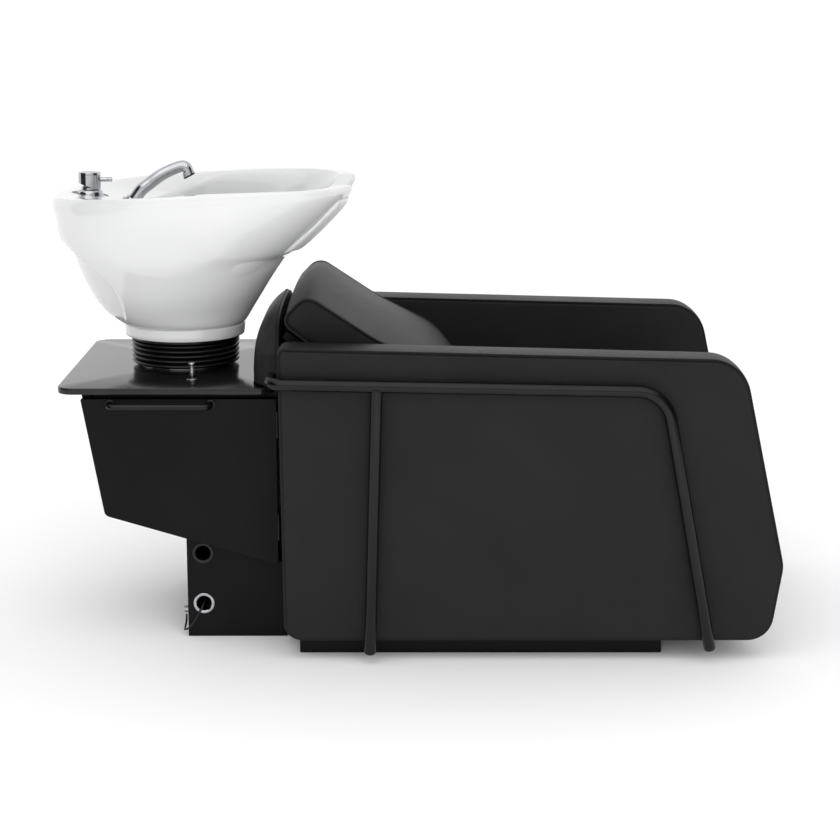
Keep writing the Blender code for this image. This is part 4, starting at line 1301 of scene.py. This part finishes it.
def makeMixer():
    facts = mixerFacts
    x, low, top = facts["x"], facts["foot"] + 0.0003, facts["top"]
    body = [(0.0004, low), (0.0326, low), (0.0330, low + 0.0004), (0.0330, low + 0.0016),
            (0.0325, low + 0.0022),
            (0.0275, low + 0.0028), (0.0252, low + 0.0042), (0.0244, low + 0.0075), (0.0240, 0.8245),
            (0.0232, 0.8262),
            (0.0206, 0.8284), (0.0196, 0.8290), (0.0004, 0.8290)]
    base = spun("mixerBody", body, (x, 0, 0), steps=72)
    settle(base, "basin_unit", "chrome", replaced=("mixer_body",))
    stem = [(0.0004, 0.8293), (0.0162, 0.8293), (0.0165, 0.8297), (0.0165, 0.8332), (0.0160, 0.8337),
            (0.0102, facts["pivot"] - 0.0003),
            (0.0004, facts["pivot"])]
    cartridge = spun("mixerCartridge", stem, (x, 0, 0), steps=48)
    settle(cartridge, "mixer_turret", "chrome", replaced=("mixer_cartridge",))
    rings = []
    section = [(0.0004, 0.8420), (0.0183, 0.8420), (0.0185, 0.8414), (0.0185, None), (0.0190, None),
               (0.0206, None),
               (0.0211, None), (0.0211, 0.8560), (0.0211, top - 0.0012), (0.0207, top - 0.0004),
               (0.0199, top),
               (0.0175, top), (0.0160, top - 0.0004), (0.0004, top - 0.0004)]
    for radius, height in section:
        ring = []
        for k in range(96):
            turn = 2 * math.pi * k / 96
            u = radius * math.cos(turn)
            drop = 0.0005 if radius in (0.0185, 0.0211) else 0.0
            ring.append((x + u, radius * math.sin(turn),
                         height or facts["pivot"] - 0.0016 - 0.277 * u + drop))
        rings.append(ring)
    cap = lofted("mixerCap", rings, angle=30)
    settle(cap, "mixer_lever", "chrome", replaced=("mixer_handle",))
    pin = [(0.0004, 0.0180), (0.0044, 0.0180), (0.0045, 0.0345), (0.0041, 0.0350), (0.0041, 0.0362),
           (0.0045, 0.0367),
           (0.0045, 0.0423), (0.0042, 0.0428), (0.0036, 0.0430), (0.0004, 0.0430)]
    lever = spun("mixerPin", pin, (x, 0, 0.8480), (1, 0, 0), 40)
    settle(lever, "mixer_lever", "chrome")


def barRing(x, z, slope, radius, count=48, flat=1.0):
    a = math.radians(slope)
    up, across = Vector((-math.sin(a), 0, math.cos(a))), Vector((0, 1, 0))
    centre = Vector((x, 0, z))
    ring = []
    for k in range(count):
        b = 2 * math.pi * k / count
        ring.append(tuple(centre + (up * math.cos(b) * flat + across * math.sin(b)) * radius))
    return ring


def makeSpray():
    foot, slope = sprayFacts["foot"], sprayFacts["slope"]
    c, s = math.cos(math.radians(slope)), math.sin(math.radians(slope))
    socket = [(0.0150, -0.0182), (0.0193, -0.0086), (0.0195, -0.0078), (0.0194, -0.0012), (0.0188, -0.0004),
              (0.0134, -0.0003), (0.0130, -0.0008), (0.0110, -0.0182)]
    piece = slanted(socket, foot, slope, 56, "spraySocket")
    settle(piece, "basin_unit", "chrome", replaced=("spray_socket",))
    collar = [(0.0147, 0.0002), (0.0150, 0.0006), (0.0150, 0.0058), (0.0146, 0.0065), (0.0140, 0.0068),
              (0.0107, 0.0068),
              (0.0104, 0.0064), (0.0104, 0.0002)]
    piece = slanted(collar, foot, slope, 56, "sprayCollar")
    settle(piece, "spray_swivel", "chrome", replaced=("spray_collar",))

    def onAxis(far, radius):
        return (foot[0] + far * c, foot[2] + far * s, slope, radius)

    straight = [onAxis(-0.0040, 0.0095), onAxis(-0.0036, 0.0098), onAxis(0.0071, 0.0098),
                onAxis(0.0074, 0.0112),
                onAxis(0.0080, 0.0118)]
    curved = [onAxis(0.0150, 0.0122), onAxis(0.0300, 0.0124), (-0.4983, 0.8409, 40, 0.0121),
              (-0.4758, 0.8568, 31, 0.0117),
              (-0.4521, 0.8681, 22, 0.0113), (-0.4370, 0.8728, 8, 0.0112), (-0.4285, 0.8705, -30, 0.0115),
              (-0.4253, 0.8625, -63.4, 0.0118)]
    small = [[(x, z, turn / 2000, r)] for x, z, turn, r in curved]
    fine = [(row[0][0], row[0][1], row[0][2] * 2000, row[0][3]) for row in eased(small, 6)]
    head = [(-0.4243, 0.8598, -63.4, 0.0118), (-0.4241, 0.8594, -63.4, 0.0112),
            (-0.4239, 0.8588, -63.4, 0.0112),
            (-0.4237, 0.8584, -63.4, 0.0121), (-0.4233, 0.8562, -63.4, 0.0121),
            (-0.42325, 0.8560, -63.4, 0.0117)]
    rings = [barRing(*row) for row in straight + fine + head]
    piece = lofted("handSpray", rings, angle=35)
    settle(piece, "spray_head", "chrome", replaced=("hand_spray",))
    nozzle = [(0.0004, 0.0004), (0.0112, 0.0004), (0.0117, 0.0010), (0.0116, 0.0022), (0.0108, 0.0029),
              (0.0095, 0.0030),
              (0.0090, 0.0024), (0.0004, 0.0021)]
    plate = slanted(nozzle, (-0.4233, 0, 0.8560), -63.4, 48, "sprayNozzle", True)
    settle(plate, "spray_head", "plastic", replaced=("spray_nozzle",))


gaiterFacts = {"low": 0.4969, "high": 0.5506, "folds": 5, "inner": 0.0960, "depth": 0.0072, "wall": 0.0024}


def makeGaiter():
    facts = gaiterFacts
    low, high = facts["low"], facts["high"]
    outside = []
    band = high - 0.0065
    steps = 60
    for k in range(steps + 1):
        share = k / steps
        wave = abs(math.sin(math.pi * facts["folds"] * share)) ** 0.75
        outside.append((facts["inner"] + 0.0010 * share + facts["depth"] * wave, low + (band - low) * share))
    outside += [(0.1020, band + 0.0003), (0.1042, band + 0.0009), (0.1045, band + 0.0020),
                (0.1045, high - 0.0010), (0.1040, high)]
    inside = [(radius - facts["wall"], height) for radius, height in outside[::-1]]
    piece = spun("gaiterBellows", outside + inside, (basinFacts["axis"], 0, 0), steps=96, openProfile=False,
                 angle=60)
    piece.data.materials.clear()
    piece.data.materials.append(looks["rubber"])
    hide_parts("gaiter")
    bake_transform(piece)


def makeLockScrew():
    x, y, z = -0.4075, -0.170, 0.492
    profile = [(0.0004, 0.0003), (0.0107, 0.0003), (0.0110, 0.0007), (0.0109, 0.0016), (0.0098, 0.0024),
               (0.0004, 0.0025)]
    washer = spun("lockWasher", profile, (x, y, z), steps=40)
    settle(washer, "lock_screw", "chrome", replaced=("tilt_lock_screw",))
    bpy.ops.object.select_all(action="DESELECT")
    bpy.ops.mesh.primitive_cylinder_add(vertices=6, radius=0.0064, depth=0.0096, location=(x, y, z + 0.0074))
    nut = named("lockNut")
    bpy.ops.object.transform_apply(location=True, rotation=True, scale=True)
    modify(nut, "BEVEL", {"width": 0.0007, "segments": 2})
    smoothed(nut, 30)
    settle(nut, "lock_screw", "chrome")
    thread = [(0.0004, 0.0122)]
    for k in range(26):
        height = 0.0124 + 0.0005 * k
        thread.append((0.0030 if k % 2 else 0.0026, height))
    thread += [(0.0028, 0.0256), (0.0040, 0.0262), (0.0057, 0.0278), (0.0061, 0.0292), (0.0060, 0.0308),
               (0.0052, 0.0320),
               (0.0036, 0.0328), (0.0004, 0.0330)]
    stud = spun("lockStud", thread, (x, y, z), steps=32)
    settle(stud, "lock_screw", "chrome")


makeBasin()
makeNeckRest()
makeDrain()
makeMixer()
makeSpray()
makeGaiter()
makeLockScrew()
print("basin and taps made")

# Studio

studioFacts = {"floor": (0.93, 0.93, 0.93), "front": 0.75, "rear": 1.05, "sun": 1.05, "fill": 30,
               "cards": 0.02}


def makeStudio():
    facts = studioFacts
    bpy.ops.object.select_all(action="DESELECT")
    bpy.ops.mesh.primitive_plane_add(size=700, location=(0, 0, -0.0004))
    floor = named("studioFloor")
    look = Look("pale floor",
                {"Base Color": (*facts["floor"], 1), "Roughness": 0.9, "Specular IOR Level": 0.1})
    floor.data.materials.append(look.material)
    world = bpy.data.worlds.new("studio")
    scene.world = world
    world.use_nodes = True
    tree = world.node_tree
    where = tree.nodes.new("ShaderNodeTexCoord")
    parts = tree.nodes.new("ShaderNodeSeparateXYZ")
    share = tree.nodes.new("ShaderNodeMapRange")
    share.inputs["From Min"].default_value = -0.35
    share.inputs["From Max"].default_value = 0.55
    share.inputs["To Min"].default_value = facts["front"]
    share.inputs["To Max"].default_value = facts["rear"]
    share.interpolation_type = "SMOOTHSTEP"
    tree.links.new(where.outputs["Generated"], parts.inputs[0])
    tree.links.new(parts.outputs["Y"], share.inputs["Value"])
    tree.links.new(share.outputs[0], tree.nodes["Background"].inputs["Strength"])
    tree.nodes["Background"].inputs["Color"].default_value = (1, 1, 1, 1)
    # Dark cards at both sides, seen only in the reflections of bright metal and paint.
    card = Look("dark card", {"Base Color": (facts["cards"],) * 3 + (1,), "Roughness": 0.9})
    for x, label in ((-2.2, "rear"), (2.2, "front")):
        bpy.ops.mesh.primitive_plane_add(size=1, location=(x, -1.2, 1.3), rotation=(0, math.radians(90), 0),
                                         scale=(1, 1, 1))
        flag = named("studioCard_" + label)
        flag.scale = (2.0, 2.6, 1)
        flag.data.materials.append(card.material)
        flag.visible_camera = False
        flag.visible_diffuse = False
        flag.visible_shadow = False
        flag.visible_transmission = False
    bpy.ops.object.light_add(type="SUN", rotation=(math.radians(38), math.radians(-8), 0))
    sun = bpy.context.object
    sun.name = "skyLight"
    sun.data.energy = facts["sun"]
    sun.data.angle = math.radians(75)
    # A low wide lamp in front lifts the underside of the basin, as a pale studio wall does.
    bpy.ops.object.light_add(type="AREA", location=(0.45, -2.5, 0.25))
    fill = bpy.context.object
    fill.name = "fillLight"
    fill.data.energy = facts["fill"]
    fill.data.size = 1.8
    fill.rotation_euler = (Vector((-0.42, 0, 0.70)) - fill.location).to_track_quat("-Z", "Y").to_euler()
    fill.visible_glossy = False
    scene.view_settings.view_transform = "Standard"


makeStudio()
print("studio made")
